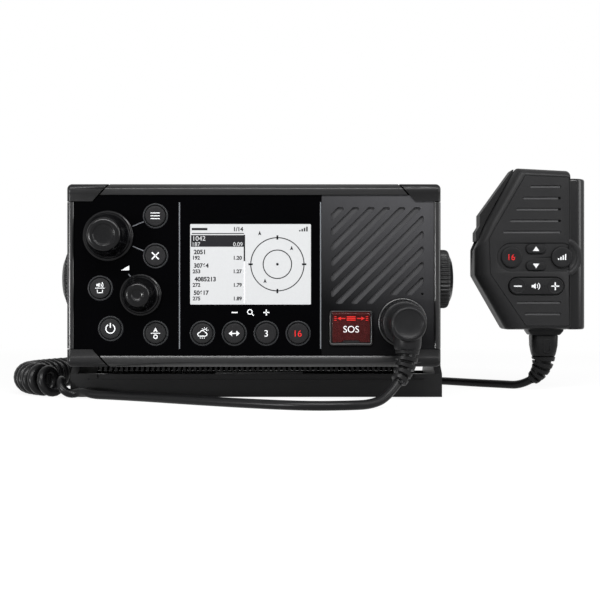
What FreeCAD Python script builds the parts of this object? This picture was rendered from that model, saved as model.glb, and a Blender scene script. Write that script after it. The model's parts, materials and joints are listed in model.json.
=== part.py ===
import FreeCAD, Part
import math
import os
from FreeCAD import Vector

# A fixed-mount marine radio in its bracket, with a fist handset on a curly cord. Millimetres.
# X to the right, Y to the back, Z up. The origin is on the underside of the bracket,
# below the tilt axis, halfway between the bracket's arms.

# Front bezel
BEZEL_HALF_WIDTH = 102.5
BEZEL_Z = (19.4, 119.6)
BEZEL_Y = (-71.0, -49.0)
BEZEL_CORNER = 2.7
BEZEL_EDGE_ROUND = 2.2
BAR_HEIGHT = 6.1
FLANGE_WIDTH = 12.0
FLANGE_THICKNESS = 3.0
CAP_INNER_X = 88.6
CAP_BAR_X = 80.0
CAP_HEIGHT = 9.5
CAP_DEPTH = 12.0
CAP_GROOVE = 0.45

# Panels and the web behind them
PANEL_Y = (-69.6, -66.5)
WEB_Y = (-66.5, -63.5)
PANEL_SPLIT_X = 37.1
PANEL_GAP = 0.1
SIDE_FRAME = 3.6
WINDOW_X = (-BEZEL_HALF_WIDTH + SIDE_FRAME, BEZEL_HALF_WIDTH - SIDE_FRAME)
WINDOW_Z = (BEZEL_Z[0] + BAR_HEIGHT, BEZEL_Z[1] - BAR_HEIGHT)

# Display
SCREEN_X = (-35.0, 31.3)
SCREEN_Z = (53.5, 97.7)
DISPLAY_RIM = 4.0

# Round keys of the front panel, as their centres in X and Z
FRONT_KEYS = {
    "key_menu": (-54.0, 102.1),
    "key_cancel": (-53.9, 80.2),
    "key_intercom": (-84.2, 62.5),
    "key_power": (-78.5, 40.3),
    "key_navigation": (-53.8, 37.8),
    "key_weather": (-28.2, 37.7),
    "key_scan": (-10.7, 37.7),
    "key_triple_watch": (6.8, 37.7),
    "key_16": (24.3, 37.7),
}
KEY_RADIUS = 5.6
KEY_HOLE_RADIUS = 5.75
KEY_RING_RADIUS = 6.85
KEY_RING_PROUD = 0.5
KEY_PROUD = 1.5
KEY_FLANGE_RADIUS = 6.6

# Knobs
MAIN_KNOB = (-79.7, 91.1)
VOLUME_KNOB = (-61.9, 58.8)
KNOB_BASE_Y = -70.6
SHAFT_RADIUS = 3.0
RUNNING_CLEARANCE = 0.06
ENCODER_SIZE = 13.0

# Turned profiles, as radius and height above the base
MAIN_PROFILE = [(0, 0), (13.9, 0), (13.9, 1.6), (13.0, 2.6), (11.3, 6.0), (9.9, 10.5), (9.3, 14.5),
                (8.7, 16.2), (7.6, 17.0), (5.6, 17.0), (5.3, 16.4), (0, 16.4)]
VOLUME_PROFILE = [(0, 0), (11.5, 0), (11.5, 1.4), (10.6, 2.3), (8.8, 5.5), (7.4, 9.5), (6.9, 13.0),
                  (6.3, 14.4), (5.3, 15.0), (2.8, 15.0), (2.6, 14.5), (0, 14.5)]

# Speaker panel
SLOT_FIELD_X = (42.3, 93.1)
SLOT_FIELD_Z = (53.9, 106.9)
SLOT_LOWER_Z = 58.6
SLOT_COUNT = 12
SLOT_PITCH = 5.96
SLOT_WIDTH = 3.2
FIRST_SLOT_OFFSET = 58.6
SPEAKER_CENTRE = (67.7, 81.0)
SPEAKER_RADIUS = 28.5

# Distress key and its cover
DISTRESS_X = (41.5, 65.1)
DISTRESS_Z = (31.0, 50.1)
COVER_X = (43.0, 63.6)
COVER_Z = (32.8, 48.2)
COVER_THICKNESS = 1.2
COVER_HINGE = (-70.8, 48.2)
HINGE_BARREL_RADIUS = 1.3
HINGE_PIN_RADIUS = 0.6

# Handset socket and its right-angle plug
SOCKET = (81.5, 43.7)
SOCKET_RADIUS = 13.4
BARREL_RADIUS = 8.5
PLUG_Y = (-109.0, -84.0)
PLUG_RADIUS = 9.4
PLUG_FACE_RADIUS = 8.2
PLUG_EDGE = 1.4
PLUG_NECK_Y = -100.0
PLUG_NECK_RADIUS = 7.4
PLUG_NECK_END_Z = 30.0

# Case
CASE_HALF_WIDTH = 92.0
CASE_Z = (23.4, 115.6)
CASE_Y = (-48.0, 79.0)
CASE_WALL = 4.0
FINNED_WALL = 6.0
FIN_PITCH = 3.0
FIN_GAP = 1.5
FIN_DEPTH = 2.4
KEEL_X = (-89.0, 89.0)
KEEL_Y = (-42.0, 30.0)
KEEL_BOTTOM = 15.3
KEEL_REAR_WALL = 3.0
BACK_FINS_Z = (27.0, 70.0)
INSERT_RADIUS = 6.0
INSERT_X = 84.0
BOSS_RADIUS = 15.0
BOSS_X = 102.6
SHANK_RADIUS = 3.0
CASE_SCREWS = [(sx, sz) for sx in (-84.0, 84.0) for sz in (75.0, 109.0)]
ANTENNA_PORT = (-58.0, 92.0, 7.0)
NETWORK_PORT = (-18.0, 92.0, 7.0)
POWER_PORT = (30.0, 92.0, 8.0)
REAR_PORTS = [ANTENNA_PORT, NETWORK_PORT, POWER_PORT]

# Bracket and clamp knobs
PIVOT_Z = 68.7
ARM_X = (103.0, 107.3)
ARM_ROUND_RADIUS = 19.0
BASE_Y = (-35.0, 38.0)
BASE_THICKNESS = 4.5
REAR_RIB_HEIGHT = 11.2
LIP_HEIGHT = 13.3
LIP_THICKNESS = 5.0
LIP_RAISE = 1.2
LIP_RAISE_X = (-23.4, 27.0)
SCREW_HOLE_RADIUS = 2.6
SCREW_SPACING = (150.0, 40.0)
SHOULDER_RADIUS = 5.0
CLAMP_RADIUS = 17.7
CLAMP_X = (107.6, 114.9)
CLAMP_DOME_X = 117.4
CLAMP_RIBS = 44

# Handset
HANDSET_Y = (1.0, 33.0)
HANDSET_SHOULDER_Y = (8.0, 26.0)
HANDSET_PARTING_Y = 17.0
HANDSET_OUTLINE = [(157.3, 136.7), (190.0, 135.0), (190.0, 37.9), (151.1, 37.9),
                   (132.1, 71.0), (132.1, 87.2), (139.4, 104.0)]
HANDSET_FACE = [(161.8, 132.3), (188.0, 131.0), (188.0, 39.6), (162.3, 39.6),
                (138.9, 71.6), (138.9, 94.0), (143.4, 101.4)]
HANDSET_BACK = [(163.0, 130.5), (186.0, 129.5), (186.0, 42.0), (156.0, 42.0),
                (139.5, 72.5), (139.5, 90.0), (145.0, 100.5)]
HANDSET_WALL = 2.5
RAIL_X = (190.0, 199.8)
RAIL_Y = (3.0, 31.0)
RAIL_Z = (38.0, 130.0)
RAIL_ROUND = 7.0
TALK_KEY_OUTER = [(155.6, 136.0), (135.7, 108.4), (135.7, 101.5), (133.4, 97.8), (133.4, 92.4)]
TALK_KEY_INNER = [(133.95, 92.2), (139.08, 104.14), (156.6, 136.0)]
TALK_KEY_Y = (9.5, 24.5)
TALK_TRAVEL = 1.2
TALK_END_CLEARANCE = 0.4
TALK_DIRECTION = Vector(0.877, 0.0, -0.48)
HANDSET_KEY_RADIUS = 6.3
HANDSET_16 = (153.7, 82.0)
HANDSET_POWER_LEVEL = (184.1, 82.0)
BULGE_RADIUS = 12.6
CHANNEL_KEY_X = (162.4, 174.6)
CHANNEL_UP_Z = (84.2, 89.9)
CHANNEL_DOWN_Z = (73.9, 79.6)
ROCKER_X = (152.1, 185.4)
ROCKER_Z = (59.2, 69.6)
ROCKER_PIVOT_RADIUS = 0.7
ROCKER_PIVOT_REACH = 1.1
ROCKER_PIVOT_Y = 2.0
HANDSET_SLOTS = [(164.8, 124.8), (160.6, 117.8), (156.5, 111.0), (152.6, 104.0), (148.4, 97.2)]
HANDSET_SLOT_END_X = 183.9
HANDSET_LOWER_SLOTS = [(156.5, 54.4), (161.6, 47.4)]
HANDSET_SLOT_HEIGHT = 1.8
HANDSET_SLOT_DEPTH = 0.9
HANDSET_SPEAKER = (172.0, 111.0)
HANGER = (163.0, 92.0)
HANDSET_SCREWS = [(141.5, 86.0), (160.5, 42.5), (186.6, 128.0), (186.6, 50.0)]
BOOT_X = (168.0, 184.4)
BOOT_Y = (9.0, 25.0)
BOOT_Z = (20.7, 34.4)
COLLAR_BOTTOM_X = (166.8, 185.8)
COLLAR_TOP_X = (164.4, 188.4)
HANDSET_BOOT_BEND = 16.4
HANDSET_BOOT_TURN = math.radians(60.0)
HANDSET_BOOT_HEADING = Vector(-0.8, 0.6, 0.0)
PLUG_BOOT_BEND = 24.5
PLUG_BOOT_TURN = math.radians(45.0)
PLUG_BOOT_HEADING = Vector(-0.8, -0.6, 0.0)

# Cord: points of its route from the plug's boot to the handset's boot. The curly part
# starts and ends halfway along a run, at the two marks.
WIRE_RADIUS = 2.5
PLUG_EXIT_RUN = 9.5
HANDSET_EXIT_RUN = 8.0
FRONT_ROUTE = [(62.0, -113.5, 2.5), (49.0, -120.0, 2.5), (29.0, -122.5, 2.5), (0.0, -108.5, 2.5),
               (-34.0, -86.5, 2.5), (-68.0, -61.5, 2.5)]
CURLY_ROUTE = [(-104.0, -42.0, 2.5), (-128.0, -26.0, 2.5), (-141.0, 0.0, 2.5), (-134.0, 32.0, 2.5),
               (-117.0, 68.0, 2.5), (-88.0, 95.0, 2.5), (-48.0, 102.5, 2.5), (-8.0, 102.0, 2.5),
               (26.0, 99.0, 2.5)]
REAR_ROUTE = [(60.0, 94.5, 2.5), (91.0, 86.0, 2.5), (118.5, 68.5, 2.5), (138.5, 48.0, 2.5),
              (153.5, 36.5, 2.5)]
CURLS = 40
CURL_RADIUS = 7.0
CURL_TAPER = 3.0
CURL_END_PITCH = 24.0
POINTS_PER_CURL = 4
ARC_SHARE = 0.45


# Small shape helpers

def box(x, y, z):
    """A block between the two values of each pair."""
    return Part.makeBox(x[1] - x[0], y[1] - y[0], z[1] - z[0], Vector(x[0], y[0], z[0]))


def rod(radius, start, end):
    """A cylinder from one point to another."""
    axis = Vector(*end) - Vector(*start)
    return Part.makeCylinder(radius, axis.Length, Vector(*start), axis)


def front_rod(radius, centre, y):
    """A cylinder along Y with its centre given in X and Z."""
    return rod(radius, (centre[0], y[0], centre[1]), (centre[0], y[1], centre[1]))


def square_pair(centre, half):
    """The two sides of a square about a centre, as pairs in X and Z."""
    return (centre[0] - half, centre[0] + half), (centre[1] - half, centre[1] + half)


def outline(points, y):
    """A closed outline of straight sides in the front view, at depth y."""
    corners = [Vector(x, y, z) for x, z in points]
    return Part.makePolygon(corners + corners[:1])


def slab(points, y):
    """A straight-sided outline given thickness along Y."""
    return Part.Face(outline(points, y[0])).extrude(Vector(0, y[1] - y[0], 0))


def round_outline(points, radius, y):
    """The same outline with each corner rounded by an arc tangent to its two sides."""
    corners = [Vector(px, y, pz) for px, pz in points]
    count = len(corners)
    arcs = []
    for i, corner in enumerate(corners):
        before = (corners[i - 1] - corner).normalize()
        after = (corners[(i + 1) % count] - corner).normalize()
        half = before.getAngle(after) / 2
        reach = radius / math.tan(half)
        middle = corner + (before + after).normalize() * (radius / math.sin(half) - radius)
        arcs.append((corner + before * reach, middle, corner + after * reach))
    edges = []
    for i, (start, middle, end) in enumerate(arcs):
        edges.append(Part.Arc(start, middle, end).toShape())
        edges.append(Part.LineSegment(end, arcs[(i + 1) % count][0]).toShape())
    return Part.Wire(edges)


def round_slab(points, radius, y):
    """A rounded outline given thickness along Y."""
    return Part.Face(round_outline(points, radius, y[0])).extrude(Vector(0, y[1] - y[0], 0))


def rectangle(x, z):
    """The four corners of a rectangle in the front view."""
    return [(x[0], z[0]), (x[1], z[0]), (x[1], z[1]), (x[0], z[1])]


def inset(points, distance):
    """A convex outline with each side moved inwards."""
    count = len(points)
    area = sum(points[i - 1][0] * points[i][1] - points[i][0] * points[i - 1][1] for i in range(count))
    turn = 1.0 if area > 0 else -1.0
    moved = []
    for i, (x, z) in enumerate(points):
        before = points[i - 1]
        after = points[(i + 1) % count]
        sides = []
        for start, end in ((before, (x, z)), ((x, z), after)):
            length = math.hypot(end[0] - start[0], end[1] - start[1])
            sides.append((-(end[1] - start[1]) / length * turn, (end[0] - start[0]) / length * turn))
        share = 1.0 + sides[0][0] * sides[1][0] + sides[0][1] * sides[1][1]
        moved.append((x + (sides[0][0] + sides[1][0]) * distance / share,
                      z + (sides[0][1] + sides[1][1]) * distance / share))
    return moved


def frustum(points_a, radius_a, y_a, points_b, radius_b, y_b):
    """A ruled solid between two rounded outlines with the same number of corners."""
    wires = [round_outline(points_a, radius_a, y_a), round_outline(points_b, radius_b, y_b)]
    return Part.makeLoft(wires, True, True)


def turned(profile, centre, base_y):
    """A solid of revolution about Y. The profile is radius and height forward of base_y."""
    points = [Vector(centre[0] + r, base_y - h, centre[1]) for r, h in profile]
    face = Part.Face(Part.makePolygon(points + points[:1]))
    return face.revolve(Vector(centre[0], base_y, centre[1]), Vector(0, 1, 0), 360)


def mirror_x(shape):
    """The shape on the other side of the middle plane."""
    return shape.mirror(Vector(0, 0, 0), Vector(1, 0, 0))


def merge(shapes):
    """One solid from several that overlap or touch."""
    return shapes[0].multiFuse(shapes[1:]).removeSplitter()


# Front bezel, its corner caps and the panels

def cap_outline(grow):
    """The upper right corner cap seen from the front, widened by grow on its inner sides."""
    bottom = BEZEL_Z[1] - CAP_HEIGHT - grow
    beyond = BEZEL_HALF_WIDTH + 1
    above = BEZEL_Z[1] + 1
    slope = (CAP_INNER_X - CAP_BAR_X) / CAP_HEIGHT
    inner = CAP_INNER_X - 1.5 * grow
    return [(beyond, bottom), (inner, bottom), (inner - slope * (above - bottom), above), (beyond, above)]


def cap_spaces(grow, back):
    """The spaces of all four caps, from in front of the bezel to the given depth."""
    middle = (BEZEL_Z[0] + BEZEL_Z[1]) / 2
    upper = slab(cap_outline(grow), (BEZEL_Y[0] - 1, back))
    lower = upper.mirror(Vector(0, 0, middle), Vector(0, 0, 1))
    return [upper, mirror_x(upper), lower, mirror_x(lower)]


def bezel_block():
    """The bezel's outer form with its front edge rounded."""
    sides = rectangle((-BEZEL_HALF_WIDTH, BEZEL_HALF_WIDTH), BEZEL_Z)
    block = round_slab(sides, BEZEL_CORNER, BEZEL_Y)
    front = [e for e in block.Edges if abs(e.BoundBox.YMax - BEZEL_Y[0]) < 0.01]
    return block.makeFillet(BEZEL_EDGE_ROUND, front)


def web_openings():
    """What passes through the web: keys, display, encoders, speaker, socket and distress key."""
    holes = [front_rod(KEY_FLANGE_RADIUS + 0.4, centre, WEB_Y) for centre in FRONT_KEYS.values()]
    for centre in (MAIN_KNOB, VOLUME_KNOB):
        x, z = square_pair(centre, ENCODER_SIZE / 2 + 0.2)
        holes.append(box(x, WEB_Y, z))
    rim = DISPLAY_RIM + 0.2
    holes.append(box((SCREEN_X[0] - rim, SCREEN_X[1] + rim), WEB_Y, (SCREEN_Z[0] - rim, SCREEN_Z[1] + rim)))
    holes.append(front_rod(SPEAKER_RADIUS - 2.0, SPEAKER_CENTRE, WEB_Y))
    holes.append(front_rod(BARREL_RADIUS, SOCKET, WEB_Y))
    holes.append(box(DISTRESS_X, WEB_Y, DISTRESS_Z))
    return holes


def front_bezel():
    """The frame with its web, open at the front for the panels and at the back for the case."""
    cavity_x = (-BEZEL_HALF_WIDTH + 3.2, BEZEL_HALF_WIDTH - 3.2)
    cavity_z = (BEZEL_Z[0] + 3.2, BEZEL_Z[1] - 3.2)
    flange_back = BEZEL_Y[1] - FLANGE_THICKNESS
    tools = [box(WINDOW_X, (BEZEL_Y[0] - 1, WEB_Y[0]), WINDOW_Z)]
    tools.append(box(cavity_x, (WEB_Y[1], flange_back), cavity_z))
    mouth_x = (-BEZEL_HALF_WIDTH + FLANGE_WIDTH + 4, BEZEL_HALF_WIDTH - FLANGE_WIDTH - 4)
    mouth_z = (BEZEL_Z[0] + FLANGE_WIDTH, BEZEL_Z[1] - FLANGE_WIDTH)
    tools.append(box(mouth_x, (flange_back, BEZEL_Y[1]), mouth_z))
    tools += web_openings()
    tools += cap_spaces(CAP_GROOVE, BEZEL_Y[0] + CAP_DEPTH)
    return bezel_block().cut(tools)


def corner_caps():
    """Four caps cut from the bezel's own outer form, hollowed where they lie over the panels."""
    block = bezel_block()
    caps = [block.common(space) for space in cap_spaces(0.0, BEZEL_Y[0] + CAP_DEPTH)]
    behind = box(WINDOW_X, (PANEL_Y[0], BEZEL_Y[1]), WINDOW_Z)
    core = box((-BEZEL_HALF_WIDTH + 3.2, BEZEL_HALF_WIDTH - 3.2), (WEB_Y[0] - 1, BEZEL_Y[1]),
               (BEZEL_Z[0] + 3.2, BEZEL_Z[1] - 3.2))
    return Part.makeCompound([cap.cut([behind, core]) for cap in caps])


def fascia_panel():
    """The gloss panel over the display and keys, with a raised ring round each key."""
    x = (WINDOW_X[0], PANEL_SPLIT_X - PANEL_GAP)
    panel = box(x, PANEL_Y, WINDOW_Z)
    ring_y = (PANEL_Y[0] - KEY_RING_PROUD, PANEL_Y[1])
    rings = [front_rod(KEY_RING_RADIUS, c, ring_y) for c in FRONT_KEYS.values()]
    holes = [front_rod(KEY_HOLE_RADIUS, c, (BEZEL_Y[0], WEB_Y[1])) for c in FRONT_KEYS.values()]
    holes += [front_rod(4.4, c, (BEZEL_Y[0], WEB_Y[1])) for c in (MAIN_KNOB, VOLUME_KNOB)]
    holes.append(box(SCREEN_X, (BEZEL_Y[0], WEB_Y[1]), SCREEN_Z))
    return merge([panel] + rings).cut(holes)


def slot_cutters():
    """The diagonal sound slots, rising to the right, clipped by the field's edges."""
    field = box(SLOT_FIELD_X, (BEZEL_Y[0], WEB_Y[0]), SLOT_FIELD_Z)
    low_field = box(SLOT_FIELD_X, (BEZEL_Y[0], WEB_Y[0]), (SLOT_LOWER_Z, SLOT_FIELD_Z[1]))
    half = SLOT_WIDTH * math.sqrt(0.5)
    cutters = []
    for i in range(SLOT_COUNT):
        rise = FIRST_SLOT_OFFSET - i * SLOT_PITCH * math.sqrt(2)
        left, right = SLOT_FIELD_X[0] - 5, SLOT_FIELD_X[1] + 5
        corners = [(left, left + rise - half), (right, right + rise - half),
                   (right, right + rise + half), (left, left + rise + half)]
        clip = low_field if i >= 9 else field
        cutters.append(slab(corners, (BEZEL_Y[0], WEB_Y[0])).common(clip))
    return cutters


def speaker_panel():
    """The matte panel with the sound slots, the distress well and the handset socket."""
    panel = box((PANEL_SPLIT_X + PANEL_GAP, WINDOW_X[1]), PANEL_Y, WINDOW_Z)
    holes = slot_cutters()
    holes.append(box(DISTRESS_X, PANEL_Y, DISTRESS_Z))
    holes.append(front_rod(SOCKET_RADIUS, SOCKET, PANEL_Y))
    return panel.cut(holes)


def lcd_display():
    """The display module: its face fills the window and its body sits in the web."""
    face = box(SCREEN_X, (PANEL_Y[0] + 0.2, WEB_Y[0]), SCREEN_Z)
    rim = DISPLAY_RIM
    body = box((SCREEN_X[0] - rim, SCREEN_X[1] + rim), (WEB_Y[0], -61.0),
               (SCREEN_Z[0] - rim, SCREEN_Z[1] + rim))
    return merge([face, body])


def front_key(centre):
    """A round key cap with a flange that keeps it behind the panel."""
    face_y = PANEL_Y[0] - KEY_PROUD
    cap = front_rod(KEY_RADIUS, centre, (face_y, WEB_Y[0] + 1.0))
    cap = cap.makeChamfer(0.4, [e for e in cap.Edges if abs(e.BoundBox.YMax - face_y) < 0.01])
    flange = front_rod(KEY_FLANGE_RADIUS, centre, (WEB_Y[0] + 0.2, WEB_Y[0] + 1.8))
    return merge([cap, flange])


def key_membrane():
    """The rubber sheet behind the keys, cut out round the display and the encoders."""
    y = (WEB_Y[1] + 0.2, WEB_Y[1] + 1.2)
    sheet = box((-96.0, 34.0), y, (28.0, 110.0))
    rim = DISPLAY_RIM + 0.4
    holes = [box((SCREEN_X[0] - rim, SCREEN_X[1] + rim), y, (SCREEN_Z[0] - rim, 111.0))]
    for centre in (MAIN_KNOB, VOLUME_KNOB):
        x, z = square_pair(centre, ENCODER_SIZE / 2 + 0.3)
        holes.append(box(x, y, z))
    return sheet.cut(holes)


def front_board():
    """The circuit board behind the keys and the display."""
    return box((-97.0, 36.0), (-60.4, -58.8), (27.0, 112.0))


def encoders():
    """Two rotary encoders: a body on the board and a bush through the panel."""
    parts = []
    for centre in (MAIN_KNOB, VOLUME_KNOB):
        x, z = square_pair(centre, ENCODER_SIZE / 2)
        body = box(x, (WEB_Y[0], -60.4), z)
        bush = front_rod(4.4, centre, (-71.6, WEB_Y[0]))
        bore = front_rod(SHAFT_RADIUS + RUNNING_CLEARANCE, centre, (-72.0, -61.0))
        parts.append(merge([body, bush]).cut(bore))
    return Part.makeCompound(parts)


def knob_shaft(centre, front_y):
    """An encoder's shaft, which slides in its bush when the knob is pressed."""
    return front_rod(SHAFT_RADIUS, centre, (front_y, -62.0))


def knob(centre, profile, bore_depth):
    """A turned knob with a bore for the shaft and a hollow for the bush."""
    bore = front_rod(SHAFT_RADIUS + RUNNING_CLEARANCE, centre, (KNOB_BASE_Y - bore_depth, KNOB_BASE_Y))
    hollow = front_rod(6.0, centre, (KNOB_BASE_Y - 3.0, KNOB_BASE_Y))
    return turned(profile, centre, KNOB_BASE_Y).cut([bore, hollow])


# Distress key under its cover

def distress_frame():
    """The surround with a well for the cover and an opening for the key."""
    outer = box(DISTRESS_X, (-71.2, -64.0), DISTRESS_Z)
    well = box((COVER_X[0] - 0.4, COVER_X[1] + 0.4), (-71.3, -68.9), (COVER_Z[0] - 0.4, DISTRESS_Z[1] - 0.5))
    key_hole = box((45.3, 60.9), (-69.0, -64.0), (33.8, 45.7))
    pin = rod(HINGE_PIN_RADIUS, (41.9, *COVER_HINGE), (64.7, *COVER_HINGE))
    notch = front_rod(3.0, ((COVER_X[0] + COVER_X[1]) / 2, COVER_Z[0] - 0.6), (-71.3, -69.9))
    return outer.cut([well, key_hole, pin, notch])


def distress_cover():
    """The flap: a plate hung from a barrel along its top edge, with a nail notch below."""
    y = (COVER_HINGE[0] - COVER_THICKNESS / 2, COVER_HINGE[0] + COVER_THICKNESS / 2)
    plate = box(COVER_X, y, COVER_Z)
    barrel = rod(HINGE_BARREL_RADIUS, (COVER_X[0], *COVER_HINGE), (COVER_X[1], *COVER_HINGE))
    bore_radius = HINGE_PIN_RADIUS + RUNNING_CLEARANCE
    bore = rod(bore_radius, (COVER_X[0] - 1, *COVER_HINGE), (COVER_X[1] + 1, *COVER_HINGE))
    notch = front_rod(2.4, ((COVER_X[0] + COVER_X[1]) / 2, COVER_Z[0] - 0.4), (-73.0, -69.0))
    return merge([plate, barrel]).cut([bore, notch])


def distress_cover_pin():
    """The pin that the cover turns on."""
    return rod(HINGE_PIN_RADIUS, (41.9, *COVER_HINGE), (64.7, *COVER_HINGE))


def distress_button():
    """The key under the cover."""
    key = box((45.6, 60.6), (-68.8, -63.0), (34.1, 45.4))
    return key.makeChamfer(0.4, [e for e in key.Edges if abs(e.BoundBox.YMax + 68.8) < 0.01])


# Handset socket and plug

def mic_socket():
    """The socket's ring in the panel, its threaded barrel and the contact block behind."""
    ring = front_rod(SOCKET_RADIUS, SOCKET, (-71.2, WEB_Y[0]))
    barrel = front_rod(BARREL_RADIUS, SOCKET, (-78.0, -60.0))
    return merge([ring, barrel]).cut(front_rod(6.5, SOCKET, (-78.0, -74.0)))


def plug_lock_ring():
    """The plug's knurled ring over the socket's barrel."""
    ring = front_rod(12.2, SOCKET, (-84.0, -71.6))
    bore = front_rod(BARREL_RADIUS + RUNNING_CLEARANCE, SOCKET, (-78.4, -71.6))
    step = 2 * math.pi / 30
    grooves = []
    for i in range(30):
        x = SOCKET[0] + 12.6 * math.cos(i * step)
        z = SOCKET[1] + 12.6 * math.sin(i * step)
        grooves.append(front_rod(0.8, (x, z), (-84.0, -75.0)))
    return ring.cut([bore] + grooves)


def plug_body():
    """The right-angle plug: a cap facing forwards and a neck that points down."""
    edge_y = PLUG_Y[0] + PLUG_EDGE
    neck_end = (SOCKET[0], PLUG_NECK_Y, PLUG_NECK_END_Z)
    neck = rod(PLUG_NECK_RADIUS, neck_end, (SOCKET[0], PLUG_NECK_Y, SOCKET[1]))
    barrel = front_rod(PLUG_RADIUS, SOCKET, (edge_y, PLUG_Y[1]))
    edge = Part.makeCone(PLUG_FACE_RADIUS, PLUG_RADIUS, PLUG_EDGE, Vector(SOCKET[0], PLUG_Y[0], SOCKET[1]),
                         Vector(0, 1, 0))
    recess = front_rod(PLUG_FACE_RADIUS - 0.9, SOCKET, (PLUG_Y[0], PLUG_Y[0] + 0.5))
    return barrel.fuse(neck).fuse(edge).cut(recess)


def bend_point(start, heading, radius, angle):
    """A point on an arc that leaves straight down and turns towards heading, and its direction."""
    down = Vector(0, 0, -1)
    place = start + heading * (radius * (1 - math.cos(angle))) + down * (radius * math.sin(angle))
    return place, heading * math.sin(angle) + down * math.cos(angle)


def ribbed_boot(start, heading, bend, turn, ribs, radii, rib_height):
    """A tapered boot along a bend: a slim core with round ribs that shrink towards the cord."""
    share = turn / (2 * ribs)
    pieces = []
    for i in range(2 * ribs):
        rib = i % 2 == 0
        wires = []
        for end in (0, 1):
            place, way = bend_point(start, heading, bend, (i + end) * share)
            progress = (i + end) / (2 * ribs)
            radius = radii[0] + (radii[1] - radii[0]) * progress
            radius += rib_height if rib else 0.0
            wires.append(Part.Wire(Part.Circle(place, way, radius).toShape()))
        pieces.append(Part.makeLoft(wires, True, True))
    return merge(pieces)


def plug_boot():
    """The ribbed boot below the plug."""
    start = Vector(SOCKET[0], PLUG_NECK_Y, PLUG_NECK_END_Z)
    return ribbed_boot(start, PLUG_BOOT_HEADING, PLUG_BOOT_BEND, PLUG_BOOT_TURN, 5, (5.2, 2.9), 1.3)


# Case, bracket and clamp knobs

def pivot_seat(side):
    """The bore for one side's threaded insert."""
    return rod(INSERT_RADIUS, (side * INSERT_X, 0, PIVOT_Z), (side * BOSS_X, 0, PIVOT_Z))


def rear_chassis():
    """The cast case, open in front and finned below and behind, with a pivot boss on each side.

    The fins below stand lower between the bracket's front lip and its rear rib.
    """
    x = (-CASE_HALF_WIDTH, CASE_HALF_WIDTH)
    shell = box(x, CASE_Y, CASE_Z)
    along = [e for e in shell.Edges if e.BoundBox.YLength > 100]
    shell = shell.makeFillet(3.0, along)
    bosses = [rod(BOSS_RADIUS, (s * CASE_HALF_WIDTH, 0, PIVOT_Z), (s * BOSS_X, 0, PIVOT_Z)) for s in (-1, 1)]
    room = box((x[0] + CASE_WALL, x[1] - CASE_WALL), (CASE_Y[0] - 1, CASE_Y[1] - FINNED_WALL),
               (CASE_Z[0] + FINNED_WALL, CASE_Z[1] - CASE_WALL))
    seats = [pivot_seat(s) for s in (-1, 1)]
    pads = [box((s * 88 - 6, s * 88 + 6), (-9, 9), (PIVOT_Z - 9, PIVOT_Z + 9)) for s in (-1, 1)]
    gaps = []
    count = int(2 * (CASE_HALF_WIDTH - 4) / FIN_PITCH)
    for i in range(count):
        left = -CASE_HALF_WIDTH + 4 + i * FIN_PITCH
        side = (left, left + FIN_GAP)
        gaps.append(box(side, (CASE_Y[0] + 6, CASE_Y[1]), (CASE_Z[0], CASE_Z[0] + FIN_DEPTH)))
        gaps.append(box(side, (KEEL_Y[0] - 1, KEEL_Y[1] - KEEL_REAR_WALL), (KEEL_BOTTOM - 1, CASE_Z[0] + 1)))
        gaps.append(box(side, (CASE_Y[1] - FIN_DEPTH, CASE_Y[1] + 1), BACK_FINS_Z))
    ports = [rod(r, (px, 60, pz), (px, 80, pz)) for px, pz, r in REAR_PORTS]
    screws = [rod(1.8, (sx, CASE_Y[1] - FINNED_WALL, sz), (sx, CASE_Y[1], sz)) for sx, sz in CASE_SCREWS]
    keel = box(KEEL_X, KEEL_Y, (KEEL_BOTTOM, CASE_Z[0] + 1))
    case = merge([shell.cut(room), keel] + [pad.common(shell) for pad in pads])
    case = case.cut(seats + gaps + ports + screws)
    return Part.makeCompound([case] + [boss.cut(seats) for boss in bosses])


def pivot_inserts():
    """Threaded brass inserts in the case's side bosses, for the clamp knobs."""
    parts = []
    for s in (-1, 1):
        body = rod(INSERT_RADIUS, (s * INSERT_X, 0, PIVOT_Z), (s * BOSS_X, 0, PIVOT_Z))
        bottom = (s * (INSERT_X + 2), 0, PIVOT_Z)
        parts.append(body.cut(rod(SHANK_RADIUS + RUNNING_CLEARANCE, bottom, (s * (BOSS_X + 1), 0, PIVOT_Z))))
    return Part.makeCompound(parts)


def case_gasket():
    """The seal between the bezel's flange and the case."""
    y = (BEZEL_Y[1], CASE_Y[0])
    ring = box((-CASE_HALF_WIDTH, CASE_HALF_WIDTH), y, (CASE_Z[0] + 1, CASE_Z[1] - 1))
    return ring.cut(box((-CASE_HALF_WIDTH + 4, CASE_HALF_WIDTH - 4), y, (CASE_Z[0] + 8, CASE_Z[1] - 5)))


def case_screws():
    """Four screws through the back of the case."""
    parts = []
    for sx, sz in CASE_SCREWS:
        shank = rod(1.8, (sx, CASE_Y[1] - FINNED_WALL, sz), (sx, CASE_Y[1] + 0.5, sz))
        head = rod(3.4, (sx, CASE_Y[1], sz), (sx, CASE_Y[1] + 2.4, sz))
        socket = rod(1.6, (sx, CASE_Y[1] + 1.0, sz), (sx, CASE_Y[1] + 2.4, sz))
        parts.append(merge([shank, head]).cut(socket))
    return Part.makeCompound(parts)


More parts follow.
